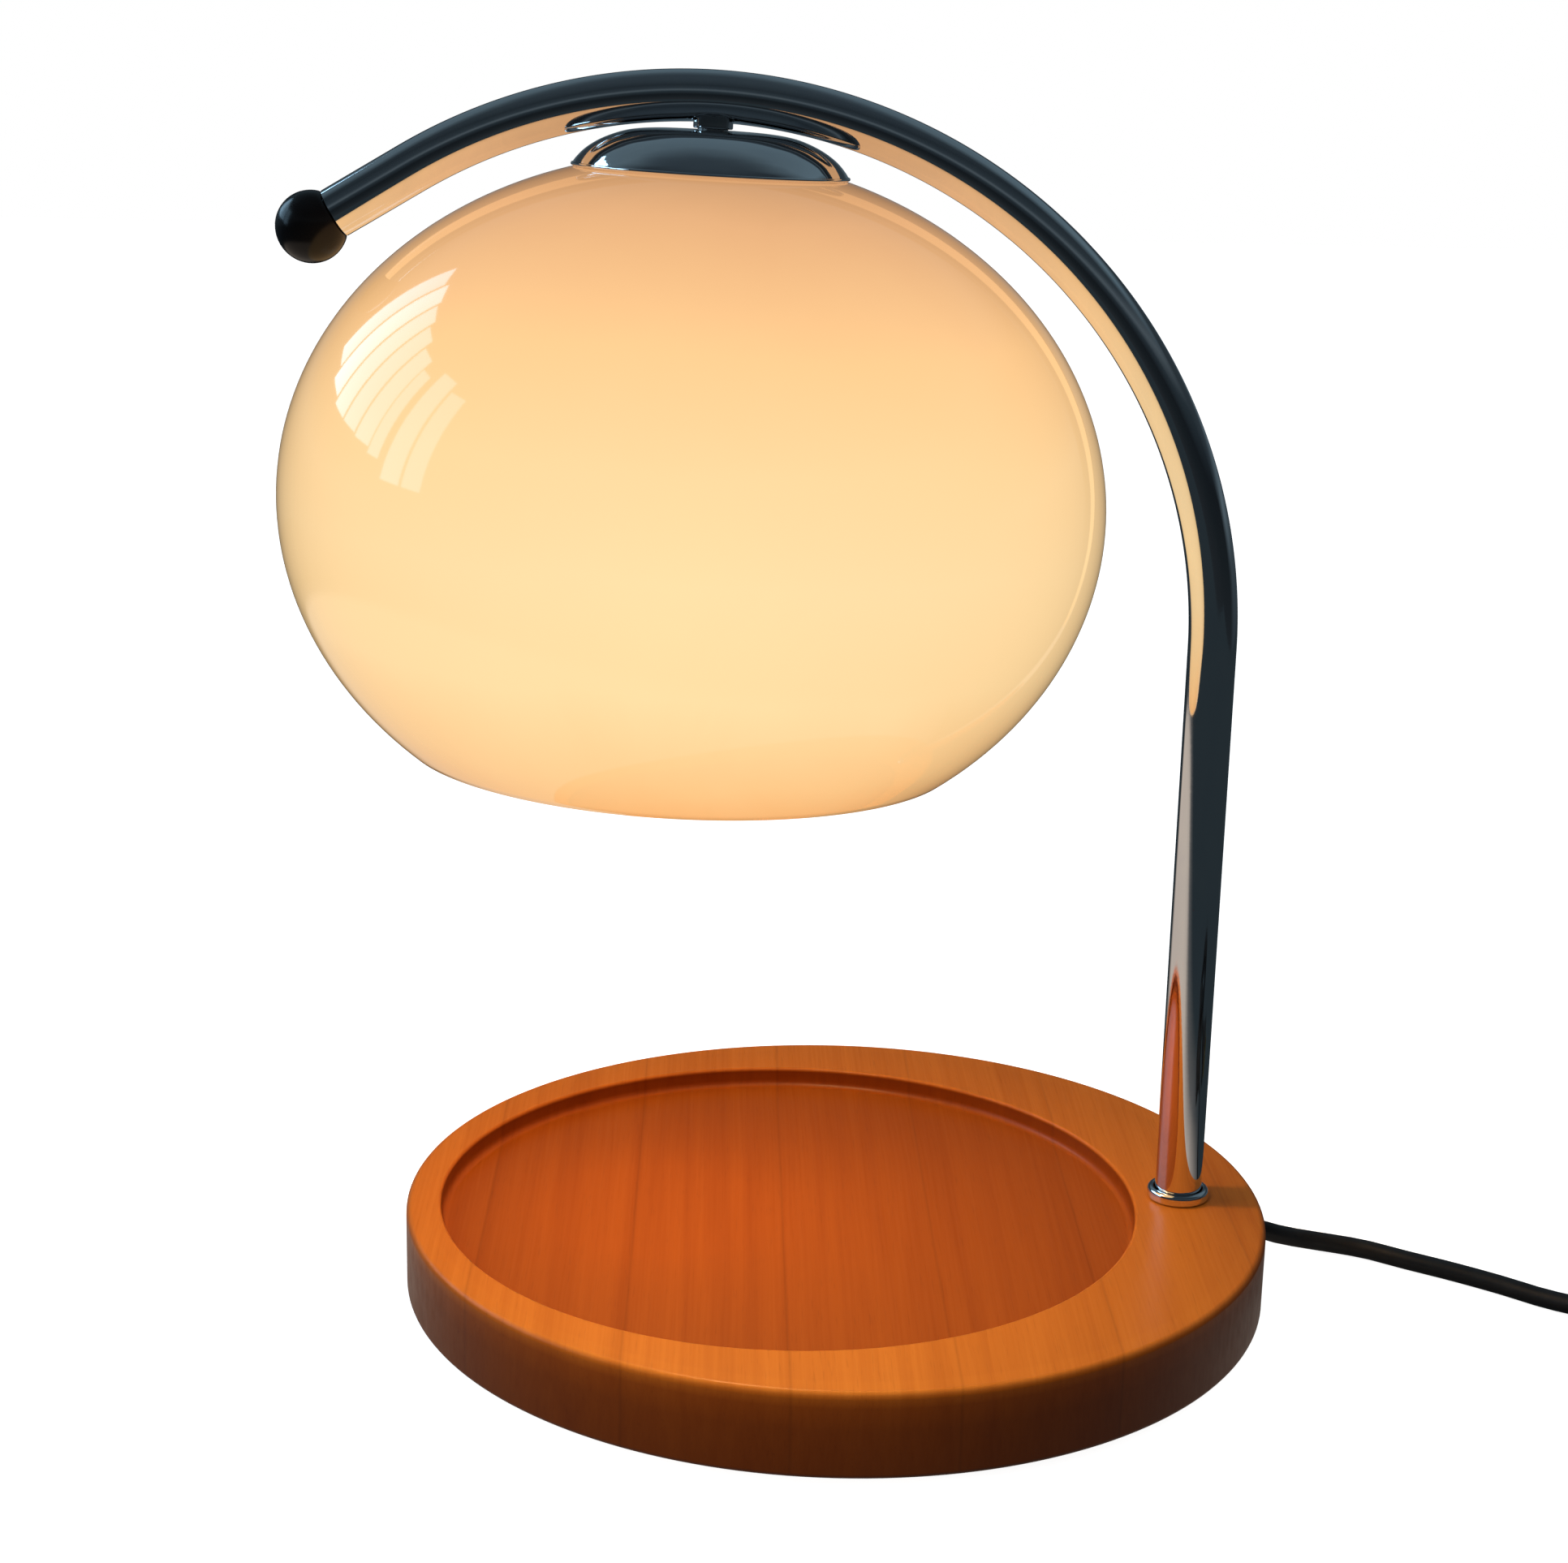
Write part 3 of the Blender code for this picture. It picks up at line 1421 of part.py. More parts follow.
shade_axis = shade_frame()
for piece in (stem, cap, cap_nut, glass_shade, glass_seal, retainer_disc, retainer_nut, holder_bracket,
              holder_screws, holder_nut, lampholder, lamp_contacts, bulb_base, bulb_pins, bulb_reflector,
              bulb_lens, bulb_capsule):
    piece(shade_axis)

cord_to_dimmer()
dimmer_axis = place_on_dimmer()
for piece in (dimmer_lower, dimmer_upper, dimmer_board, dimmer_dial, dimmer_screws,
              dimmer_reliefs):
    piece(dimmer_axis)
coil_path = cord_coil()
cord_to_coil(coil_path)
cord_to_plug(coil_path)
plug_body()
bpy.context.view_layer.update()
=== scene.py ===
import bpy
import bmesh
import math
from mathutils import Matrix, Vector


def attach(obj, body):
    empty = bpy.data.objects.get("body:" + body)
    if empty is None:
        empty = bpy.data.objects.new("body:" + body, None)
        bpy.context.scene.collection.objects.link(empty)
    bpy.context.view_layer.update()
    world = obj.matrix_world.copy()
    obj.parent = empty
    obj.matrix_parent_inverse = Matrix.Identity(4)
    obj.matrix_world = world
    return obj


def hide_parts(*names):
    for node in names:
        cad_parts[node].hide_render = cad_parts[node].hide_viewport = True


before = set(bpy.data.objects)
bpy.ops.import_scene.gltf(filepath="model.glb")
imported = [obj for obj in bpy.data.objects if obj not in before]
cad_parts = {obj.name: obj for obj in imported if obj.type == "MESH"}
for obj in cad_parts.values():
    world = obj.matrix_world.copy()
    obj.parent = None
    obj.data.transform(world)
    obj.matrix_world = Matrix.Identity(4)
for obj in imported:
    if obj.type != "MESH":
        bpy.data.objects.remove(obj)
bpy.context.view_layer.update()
scene = bpy.context.scene

# Places and sizes in metres, as the frame has them
base_x, pole_x, arch_x, recess_x = 0.0117612, 0.0860612, -0.0219388, 0.0015612
base_radius, base_low, base_top = 0.092, 0.002, 0.0197
recess_floor, recess_radius = 0.0152, 0.0745
tube_radius, arch_radius, arch_height = 0.005, 0.108, 0.141
arch_sweep, arch_tail = math.radians(120.6), 0.0174
shade_lean = math.radians(2.2)
arch_centre_drop, shade_drop = 0.0280722, 0.0799278
cord_diameter = 0.0042


# Camera

def aim_camera():
    aim = Vector((-0.00133, 0, 0.11134))
    azimuth, elevation, roll = (math.radians(turn) for turn in (-1.369, 14.724, 1.283))
    back = Vector((math.sin(azimuth) * math.cos(elevation), -math.cos(azimuth) * math.cos(elevation),
                   math.sin(elevation)))
    right = Vector((math.cos(azimuth), math.sin(azimuth), 0))
    up = back.cross(right)
    across = right * math.cos(roll) + up * math.sin(roll)
    rise = up * math.cos(roll) - right * math.sin(roll)
    camera = bpy.data.objects.new("camera", bpy.data.cameras.new("camera"))
    scene.collection.objects.link(camera)
    camera.matrix_world = Matrix.Translation(aim + back * 0.55608) @ Matrix(
        (across, rise, back)).transposed().to_4x4()
    camera.data.sensor_width = 36
    camera.data.lens = 36 * 3300 / 1932
    camera.data.clip_start = 0.01
    camera.data.dof.use_dof = False
    scene.camera = camera


aim_camera()


# Shape helpers

def polar(radius, turn, height=0.0):
    return Vector((radius * math.cos(turn), radius * math.sin(turn), height))


def soft(points, steps=6):
    """An outline whose points with a third number get that round."""
    made = []
    for index, point in enumerate(points):
        here = Vector(point[:2])
        if len(point) < 3:
            made.append(tuple(here))
            continue
        before = (Vector(points[index - 1][:2]) - here).normalized()
        after = (Vector(points[(index + 1) % len(points)][:2]) - here).normalized()
        half = before.angle(after) / 2
        centre = here + (before + after).normalized() * point[2] / math.sin(half)
        start = here + before * point[2] / math.tan(half) - centre
        end = here + after * point[2] / math.tan(half) - centre
        wide = start.angle(end)
        for step in range(steps + 1):
            share = step / steps
            spoke = start * math.sin((1 - share) * wide) + end * math.sin(share * wide)
            made.append(tuple(centre + spoke / math.sin(wide)))
    return made


def arc(centre, radius, start, end, count):
    turns = [math.radians(start + (end - start) * step / count) for step in range(count + 1)]
    return [(centre[0] + radius * math.cos(turn), centre[1] + radius * math.sin(turn)) for turn in turns]


def strips(rows, closed=False):
    """Vertices and faces between rows of points; a row of one point is a pole."""
    verts, marks = [], []
    for row in rows:
        marks.append(list(range(len(verts), len(verts) + len(row))))
        verts += [tuple(point) for point in row]
    pairs = list(zip(marks, marks[1:])) + ([(marks[-1], marks[0])] if closed else [])
    faces = []
    for here, there in pairs:
        count = max(len(here), len(there))
        for step in range(count):
            after = (step + 1) % count
            corners = [here[step % len(here)], here[after % len(here)],
                       there[after % len(there)], there[step % len(there)]]
            face = [corner for place, corner in enumerate(corners) if corner not in corners[:place]]
            if len(face) > 2:
                faces.append(face)
    return verts, faces


def lathe(outline, sides=64):
    """An outline of (radius, height) turned round Z; closed into a ring if it stays off the axis."""
    rows = [[polar(radius, math.tau * step / sides, height) for step in range(sides if radius else 1)]
            for radius, height in outline]
    return strips(rows, outline[0][0] > 0)


def plan(length, width, corner, count=10):
    points = []
    for side_x, side_y, start in ((1, 1, 0), (-1, 1, 90), (-1, -1, 180), (1, -1, 270)):
        points += arc((side_x * (length / 2 - corner), side_y * (width / 2 - corner)), corner, start,
                      start + 90, count)
    return points


def at_height(points, height):
    return [(x, y, height) for x, y in points]


def tube(points, radius, sides, inner=0.0):
    """Rows of a round tube along points in the plane y = 0, with an inner wall if inner is given."""
    def rows(reach):
        made = []
        for index, point in enumerate(points):
            along = (points[min(index + 1, len(points) - 1)] - points[max(index - 1, 0)]).normalized()
            side = Vector((0, 1, 0))
            other = along.cross(side)
            made.append([point + side * reach * math.cos(turn) + other * reach * math.sin(turn)
                         for turn in (math.tau * step / sides for step in range(sides))])
        return made
    if inner:
        return strips(rows(radius) + rows(inner)[::-1], True)
    made = rows(radius)
    return strips([[points[0]]] + made + [[points[-1]]])


def piece(name, shape, look, body="lamp", nodes=(), place=None, sharp=35):
    """A mesh piece that rides on a body and stands for the CAD nodes named."""
    mesh = bpy.data.meshes.new(name)
    mesh.from_pydata(list(shape[0]), [], list(shape[1]))
    bm = bmesh.new()
    bm.from_mesh(mesh)
    bmesh.ops.remove_doubles(bm, verts=bm.verts, dist=1e-7)
    bmesh.ops.recalc_face_normals(bm, faces=bm.faces)
    bm.to_mesh(mesh)
    bm.free()
    mesh.shade_smooth()
    mesh.set_sharp_from_angle(angle=math.radians(sharp))
    made = bpy.data.objects.new(name, mesh)
    scene.collection.objects.link(made)
    mesh.materials.append(look)
    if place is not None:
        made.matrix_world = place
    if nodes:
        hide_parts(*nodes)
    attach(made, body)
    return made


def carve(item, shapes, place=None):
    """Cut closed shapes out of a piece and keep the result."""
    for shape in shapes:
        mesh = bpy.data.meshes.new("cutter")
        mesh.from_pydata(list(shape[0]), [], list(shape[1]))
        bm = bmesh.new()
        bm.from_mesh(mesh)
        bmesh.ops.recalc_face_normals(bm, faces=bm.faces)
        bm.to_mesh(mesh)
        bm.free()
        tool = bpy.data.objects.new("cutter", mesh)
        scene.collection.objects.link(tool)
        tool.matrix_world = place or Matrix.Identity(4)
        cut = item.modifiers.new("cut", "BOOLEAN")
        cut.object, cut.operation, cut.solver = tool, "DIFFERENCE", "EXACT"
        bpy.context.view_layer.update()
        graph = bpy.context.evaluated_depsgraph_get()
        made = bpy.data.meshes.new_from_object(item.evaluated_get(graph))
        item.modifiers.clear()
        item.data = made
        bpy.data.objects.remove(tool)


def even_light(item):
    weigh = item.modifiers.new("weigh", "WEIGHTED_NORMAL")
    weigh.keep_sharp = True
    weigh.weight = 100


def smooth_path(route, step):
    """Points at equal steps along a smooth curve through the route's points."""
    route = [Vector(point) for point in route]
    ends = [2 * route[0] - route[1]] + route + [2 * route[-1] - route[-2]]
    fine = []
    for first, start, end, last in zip(ends, ends[1:], ends[2:], ends[3:]):
        for part in range(24):
            share = part / 24
            fine.append(0.5 * (2 * start + (end - first) * share
                               + (2 * first - 5 * start + 4 * end - last) * share ** 2
                               + (3 * start - first - 3 * end + last) * share ** 3))
    fine.append(route[-1])
    lengths = [0.0]
    for here, there in zip(fine, fine[1:]):
        lengths.append(lengths[-1] + (there - here).length)
    count = max(2, round(lengths[-1] / step))
    points, place = [], 0
    for index in range(count + 1):
        target = lengths[-1] * index / count
        while place < len(lengths) - 2 and lengths[place + 1] < target:
            place += 1
        span = lengths[place + 1] - lengths[place]
        points.append(fine[place].lerp(fine[place + 1], (target - lengths[place]) / span if span else 0))
    return points


def cord_curve(name, points, radius, look, body="lamp", nodes=()):
    curve = bpy.data.curves.new(name, "CURVE")
    curve.dimensions = "3D"
    curve.bevel_depth, curve.bevel_resolution, curve.use_fill_caps = radius, 5, True
    spline = curve.splines.new("POLY")
    spline.points.add(len(points) - 1)
    for target, point in zip(spline.points, points):
        target.co = (*point, 1)
    spline.use_smooth = True
    curve.materials.append(look)
    made = bpy.data.objects.new(name, curve)
    scene.collection.objects.link(made)
    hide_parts(*nodes)
    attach(made, body)
    return made


# Material helpers

def new_look(name):
    made = bpy.data.materials.new(name)
    made.use_nodes = True
    return made, made.node_tree, made.node_tree.nodes["Principled BSDF"]


def node(tree, kind, inputs=None, out=0, **settings):
    made = tree.nodes.new("ShaderNode" + kind)
    for key, value in settings.items():
        setattr(made, key, value)
    for key, value in (inputs or {}).items():
        if isinstance(value, bpy.types.NodeSocket):
            tree.links.new(value, made.inputs[key])
        else:
            made.inputs[key].default_value = value
    return made.outputs[out]


def ramp(tree, source, stops, ease="LINEAR"):
    made = tree.nodes.new("ShaderNodeValToRGB")
    made.color_ramp.interpolation = ease
    marks = made.color_ramp.elements
    while len(marks) < len(stops):
        marks.new(0.5)
    for mark, (place, colour) in zip(marks, stops):
        mark.position = place
        mark.color = (*colour, 1) if isinstance(colour, tuple) else (colour, colour, colour, 1)
    tree.links.new(source, made.inputs[0])
    return made.outputs[0]


def spot(tree, stretch=(1, 1, 1), shift=(0, 0, 0)):
    """The place on the object, stretched."""
    where = node(tree, "TexCoord", out=3)
    return node(tree, "Mapping", {"Vector": where, "Scale": stretch, "Location": shift})


def noise(tree, where, scale, detail=3.0, rough=0.5, distort=0.0):
    return node(tree, "TexNoise", {"Vector": where, "Scale": scale, "Detail": detail, "Roughness": rough,
                                   "Distortion": distort})


def bumped(tree, shader, height, depth, reach=0.0001):
    tree.links.new(node(tree, "Bump", {"Height": height, "Strength": depth, "Distance": reach}),
                   shader.inputs["Normal"])


def mottled(name, low, high, rough=(0.3, 0.4), scale=200, fine=2500, depth=0.1, stretch=(1, 1, 1),
            **sockets):
    """A finish whose colour and roughness vary a little, with a fine grain on its surface."""
    made, tree, shader = new_look(name)
    where = spot(tree, stretch)
    patches = noise(tree, where, scale, 4)
    grain = noise(tree, where, fine, 2)
    tree.links.new(ramp(tree, patches, ((0.3, low), (0.7, high))), shader.inputs["Base Color"])
    tree.links.new(ramp(tree, noise(tree, where, scale * 2.3, 3), ((0.3, rough[0]), (0.7, rough[1]))),
                   shader.inputs["Roughness"])
    bumped(tree, shader, grain, depth)
    for key, value in sockets.items():
        shader.inputs[key.replace("_", " ")].default_value = value
    return made


# Looks

def wood_look():
    """Stained staves along Y under a clear satin lacquer, with painted shade: darker on the tray's floor and wall and
    down the side towards its foot.
    """
    made, tree, shader = new_look("wood")
    where = node(tree, "TexCoord", out=3)
    wander = noise(tree, node(tree, "Mapping", {"Vector": where, "Scale": (1, 0.4, 1)}), 14, 2)
    swing = node(tree, "Math", {0: wander, 1: -0.5}, operation="ADD")
    apart = node(tree, "SeparateXYZ", {0: where})
    across = node(tree, "Math", {0: apart, 1: 31.5, 2: 0.36}, operation="MULTIPLY_ADD")
    stave = node(tree, "Math", {0: across}, operation="FLOOR")
    inside = node(tree, "Math", {0: across}, operation="FRACT")
    chance = node(tree, "TexWhiteNoise", {"W": stave}, noise_dimensions="1D")
    spread = node(tree, "CombineXYZ", {0: chance, 1: chance, 2: chance})
    offset = node(tree, "VectorMath", {0: spread, 1: (3.1, 1.7, 2.3)}, operation="MULTIPLY")
    bent = node(tree, "CombineXYZ", {0: node(tree, "Math", {0: swing, 1: 0.006, 2: apart},
                                             operation="MULTIPLY_ADD")})
    placed = node(tree, "VectorMath", {0: where, 1: bent}, operation="ADD")
    placed = node(tree, "VectorMath", {0: placed, 1: offset}, operation="ADD")
    bands = noise(tree, node(tree, "Mapping", {"Vector": placed, "Scale": (95, 4, 40)}), 1.0, 4, 0.55, 0.5)
    lines = noise(tree, node(tree, "Mapping", {"Vector": placed, "Scale": (620, 16, 240)}), 1.0, 3, 0.55)
    pores = noise(tree, node(tree, "Mapping", {"Vector": placed, "Scale": (1700, 120, 900)}), 1.0, 2, 0.5)
    mixed = node(tree, "Mix", {0: 0.30, 2: bands, 3: lines})
    mixed = node(tree, "Math", {0: chance, 1: 0.06, 2: mixed}, operation="MULTIPLY_ADD")
    colour = ramp(tree, mixed, ((0.30, (0.400, 0.108, 0.0105)), (0.50, (0.460, 0.132, 0.0140)),
                                (0.64, (0.500, 0.150, 0.0170)), (0.82, (0.540, 0.170, 0.0210))))
    dark_pores = ramp(tree, pores, ((0.28, 0.88), (0.40, 1.0)))
    joint = ramp(tree, node(tree, "Math", {0: inside, 1: 0.5}, operation="PINGPONG"),
                 ((0.0, 0.84), (0.008, 0.93), (0.016, 1.0)))
    height = node(tree, "SeparateXYZ", {0: where}, out=2)
    flat = node(tree, "VectorMath", {0: where, 1: (1, 1, 0)}, operation="MULTIPLY")
    reach = node(tree, "VectorMath", {0: flat}, out=1, operation="LENGTH")
    height = node(tree, "MapRange", {"Value": height, "From Min": 0.0020, "From Max": 0.0202})
    # painted shade in the tray: its floor a little darker, its wall darkest, full colour only at the rim
    tray = ramp(tree, height, ((0.70, (0.62, 0.45, 0.32)), (0.73, (0.62, 0.45, 0.32)),
                               (0.77, (0.42, 0.26, 0.18)), (0.92, (0.34, 0.20, 0.14)),
                               (0.955, (0.80, 0.68, 0.58)), (0.975, (1.0, 1.0, 1.0))))
    # painted shade on the side: darkest at the foot, lighter upwards, full colour at the top edge
    side = ramp(tree, height, ((0.0, (0.24, 0.16, 0.13)), (0.55, (0.30, 0.20, 0.15)),
                               (0.80, (0.42, 0.29, 0.22)), (0.93, (0.74, 0.60, 0.50)),
                               (0.97, (1.0, 1.0, 1.0))))
    # the side's painted shade applies outside the tray's reach, the tray's painted shade inside it
    outside = node(tree, "MapRange", {"Value": reach, "From Min": 0.0868, "From Max": 0.0878})
    painted_shade = node(tree, "Mix", {0: outside, 6: tray, 7: side}, out=2, data_type="RGBA")
    # pores and stave joints are the wood's own; the painted shade is multiplied in with them
    for tone in (dark_pores, joint, painted_shade):
        colour = node(tree, "Mix", {0: 1.0, 6: colour, 7: tone}, out=2, data_type="RGBA",
                      blend_type="MULTIPLY")
    tree.links.new(colour, shader.inputs["Base Color"])
    tree.links.new(ramp(tree, lines, ((0.3, 0.42), (0.7, 0.34))), shader.inputs["Roughness"])
    bumped(tree, shader, node(tree, "Math", {0: pores, 1: 0.5, 2: lines}, operation="MULTIPLY_ADD"), 0.06)
    shader.inputs["Specular IOR Level"].default_value = 0.1
    shader.inputs["Coat Weight"].default_value = 0.06
    shader.inputs["Coat Roughness"].default_value = 0.2
    return made


def chrome_look():
    """Polished plate with faint wiping marks."""
    made, tree, shader = new_look("chrome")
    where = spot(tree)
    smear = noise(tree, spot(tree, (1, 1, 0.35)), 90, 4, 0.6, 1.2)
    tree.links.new(ramp(tree, smear, ((0.35, (0.80, 0.81, 0.83)), (0.70, (0.86, 0.86, 0.86)))),
                   shader.inputs["Base Color"])
    tree.links.new(ramp(tree, noise(tree, where, 60, 5, 0.6), ((0.35, 0.035), (0.75, 0.085))),
                   shader.inputs["Roughness"])
    bumped(tree, shader, noise(tree, where, 900, 2), 0.02)
    shader.inputs["Metallic"].default_value = 1.0
    return made


def shade_look():
    """Amber opal glass lit from inside: brightest below its middle, deeper at the neck and the rim."""
    made, tree, shader = new_look("opal_glass")
    where = node(tree, "TexCoord", out=3)
    height = node(tree, "SeparateXYZ", {0: where}, out=2)
    share = node(tree, "MapRange", {"Value": height, "From Min": -0.052, "From Max": 0.068})
    cloud = noise(tree, spot(tree, (1, 1, 0.6)), 32, 4, 0.55, 0.8)
    share = node(tree, "Math", {0: node(tree, "Math", {0: cloud, 1: -0.5}, operation="ADD"), 1: 0.06,
                                2: share}, operation="MULTIPLY_ADD")
    glow = ramp(tree, share, ((0.0, (0.95, 0.600, 0.280)), (0.08, (0.98, 0.700, 0.370)),
                              (0.24, (1.0, 0.810, 0.490)), (0.42, (1.0, 0.820, 0.510)),
                              (0.58, (1.0, 0.780, 0.460)), (0.74, (1.0, 0.700, 0.385)),
                              (0.92, (0.79, 0.500, 0.285)), (1.0, (0.60, 0.365, 0.200))))
    tree.links.new(glow, shader.inputs["Emission Color"])
    shader.inputs["Emission Strength"].default_value = 1.05
    tree.links.new(ramp(tree, cloud, ((0.3, (0.20, 0.10, 0.045)), (0.7, (0.26, 0.13, 0.06)))),
                   shader.inputs["Base Color"])
    tree.links.new(ramp(tree, noise(tree, where, 40, 3), ((0.3, 0.05), (0.7, 0.09))),
                   shader.inputs["Roughness"])
    bumped(tree, shader, noise(tree, where, 45, 2), 0.02, 0.0004)
    shader.inputs["Specular IOR Level"].default_value = 0.0
    shader.inputs["Coat Weight"].default_value = 1.0
    shader.inputs["Coat Roughness"].default_value = 0.05
    shader.inputs["Coat Tint"].default_value = (1.0, 0.89, 0.76, 1)
    return made


def lens_look():
    made, tree, shader = new_look("lit_lens")
    where = spot(tree)
    ripples = node(tree, "TexVoronoi", {"Vector": where, "Scale": 260})
    tree.links.new(ramp(tree, ripples, ((0.0, (1.0, 0.84, 0.60)), (0.8, (1.0, 0.70, 0.40)))),
                   shader.inputs["Emission Color"])
    shader.inputs["Emission Strength"].default_value = 5.0
    shader.inputs["Base Color"].default_value = (0.9, 0.88, 0.84, 1)
    bumped(tree, shader, ripples, 0.4, 0.0006)
    return made


def clear_look():
    made = mottled("clear_glass", (0.86, 0.90, 0.93), (0.92, 0.95, 0.97), (0.02, 0.05), 120, 900, 0.02)
    shader = made.node_tree.nodes["Principled BSDF"]
    shader.inputs["Transmission Weight"].default_value = 0.8
    return made


def board_look():
    """A circuit board: green lacquer over pale tracks."""
    made, tree, shader = new_look("board")
    where = spot(tree)
    tracks = node(tree, "TexBrick", {"Vector": where, "Scale": 420, "Mortar Size": 0.06,
                                     "Color1": (0.02, 0.16, 0.06, 1), "Color2": (0.02, 0.20, 0.08, 1),
                                     "Mortar": (0.10, 0.34, 0.14, 1)})
    tree.links.new(tracks, shader.inputs["Base Color"])
    tree.links.new(ramp(tree, noise(tree, where, 300), ((0.3, 0.30), (0.7, 0.45))),
                   shader.inputs["Roughness"])
    bumped(tree, shader, noise(tree, where, 1800), 0.08)
    return made


wood = wood_look()
chrome = chrome_look()
opal = shade_look()
lit_lens = lens_look()
clear = clear_look()
board = board_look()
gloss_black = mottled("gloss_black", (0.004, 0.004, 0.005), (0.009, 0.009, 0.010), (0.16, 0.24), 80, 700,
                      0.02, Specular_IOR_Level=0.22)
cord_black = mottled("cord_black", (0.008, 0.008, 0.009), (0.016, 0.016, 0.017), (0.40, 0.55), 160, 2600,
                     0.12)
matt_black = mottled("matt_black", (0.012, 0.012, 0.013), (0.022, 0.022, 0.023), (0.42, 0.58), 220, 3200,
                     0.25)
rubber = mottled("rubber", (0.014, 0.014, 0.014), (0.030, 0.029, 0.028), (0.70, 0.85), 260, 1800, 0.3)
felt = mottled("cover_sheet", (0.010, 0.010, 0.011), (0.024, 0.023, 0.022), (0.75, 0.9), 180, 2400, 0.5)
steel = mottled("steel", (0.46, 0.46, 0.47), (0.62, 0.61, 0.60), (0.26, 0.42), 150, 1500, 0.15,
                (1, 1, 0.2), Metallic=1.0)
brass = mottled("brass", (0.62, 0.44, 0.17), (0.78, 0.58, 0.27), (0.22, 0.38), 190, 1600, 0.12,
                (0.3, 1, 1), Metallic=1.0)
mirror_coat = mottled("mirror_coat", (0.80, 0.78, 0.72), (0.90, 0.87, 0.82), (0.06, 0.14), 240, 900, 0.1,
                      Metallic=1.0)
ceramic = mottled("ceramic", (0.74, 0.72, 0.67), (0.86, 0.84, 0.80), (0.30, 0.50), 130, 1400, 0.12)
silicone = mottled("silicone", (0.66, 0.64, 0.58), (0.78, 0.76, 0.72), (0.45, 0.60), 140, 1200, 0.1)
brown_wire = mottled("brown_wire", (0.16, 0.06, 0.02), (0.24, 0.10, 0.04), (0.40, 0.55), 300, 2000, 0.1)
blue_wire = mottled("blue_wire", (0.03, 0.07, 0.30), (0.05, 0.11, 0.42), (0.40, 0.55), 300, 2000, 0.1)


# Cord, dimmer and plug places

def heading(turn):
    return Vector((math.cos(turn), math.sin(turn), 0))


dimmer_place, dimmer_way = Vector((0.1936, -0.0888, 0)), heading(math.radians(-80))
coil_place, coil_start = Vector((0.2456, -0.1250, 0)), math.radians(-100)
plug_place, plug_way = Vector((0.2231, -0.0371, 0)), heading(math.radians(100))
relief_end = 0.0496
outlet = Vector((base_x + 0.0913286 + 0.0003, 0.014, 0.006))


def free_points(start, start_way, route, end, end_way):
    """A cord's line, straight for one diameter at both ends."""
    inner = [start + start_way * cord_diameter] + [Vector(point) for point in route]
    inner.append(end - end_way * cord_diameter)
    return [start] + smooth_path(inner, cord_diameter) + [end]


def coil_points():
    """Turns that spiral in on the table and out again one layer up."""
    half, loop, points = 3.75, 24, []
    for index in range(round(2 * half * loop) + 1):
        turns = index / loop
        climb = min(max((turns - half) / 0.5 + 0.5, 0), 1)
        points.append(coil_place + polar(0.0168 + 0.0048 * abs(turns - half),
                                         coil_start + math.tau * turns,
                                         0.0021 + 0.0047 * climb * climb * (3 - 2 * climb)))
    return points


def path_length(points):
    return sum((there - here).length for here, there in zip(points, points[1:]))


to_dimmer = free_points(outlet, heading(0), (
    (0.1112, 0.0144, 0.0048), (0.1170, 0.0150, 0.0034), (0.1226, 0.0149, 0.0026),
    (0.1309, 0.0124, 0.0022), (0.1388, 0.0073, 0.0021), (0.1481, 0.0013, 0.0021),
    (0.1570, -0.0052, 0.0021), (0.1642, -0.0112, 0.0021), (0.1712, -0.0171, 0.0028),
    (0.1780, -0.0248, 0.0052)),
    dimmer_place - dimmer_way * relief_end + Vector((0, 0, 0.008)), dimmer_way)
coil = coil_points()
first_way, last_way = (coil[1] - coil[0]).normalized(), (coil[-1] - coil[-2]).normalized()
to_coil = free_points(dimmer_place + dimmer_way * relief_end + Vector((0, 0, 0.008)), dimmer_way, (
    (0.2051, -0.1500, 0.0050), (0.2112, -0.1568, 0.0030), (0.2195, -0.1602, 0.0022),
    (0.2290, -0.1605, 0.0021)), coil[0] - first_way * (cord_diameter + 0.0003), first_way)
to_plug = free_points(coil[-1] + last_way * (cord_diameter + 0.0003), last_way, (
    (0.2382, -0.0862, 0.0058), (0.2308, -0.0782, 0.0048), (0.2279, -0.0690, 0.0054)),
    plug_place - plug_way * 0.0203 + Vector((0, 0, 0.0065)), plug_way)
whole = to_coil + coil + to_plug
lamp_cord = cord_curve("lamp_cord", to_dimmer, cord_diameter / 2, cord_black, nodes=("cord_to_dimmer",))
plug_cord = cord_curve("plug_cord", whole, cord_diameter / 2, cord_black,
                       nodes=("cord_to_coil", "cord_coil", "cord_to_plug"))
print("cord lengths", path_length(to_dimmer), path_length(whole))

dimmer_frame = Matrix.Translation(dimmer_place) @ Matrix.Rotation(math.radians(-80), 4, "Z")
plug_frame = Matrix.Translation(plug_place) @ Matrix.Rotation(math.radians(100), 4, "Z")
shade_frame = Matrix.Translation((arch_x + arch_centre_drop * math.sin(shade_lean), 0,
                                  arch_height + arch_centre_drop * math.cos(shade_lean))) \
    @ Matrix.Rotation(shade_lean, 4, "Y")
base_frame = Matrix.Translation((base_x, 0, 0))
along_x = Matrix.Rotation(math.pi / 2, 4, "Y")


# Wooden base

def cylinder(radius, low, high, x=0.0, y=0.0, sides=48):
    verts, faces = lathe([(0, low), (radius, low), (radius, high), (0, high)], sides)
    return [(px + x, py + y, pz) for px, py, pz in verts], faces


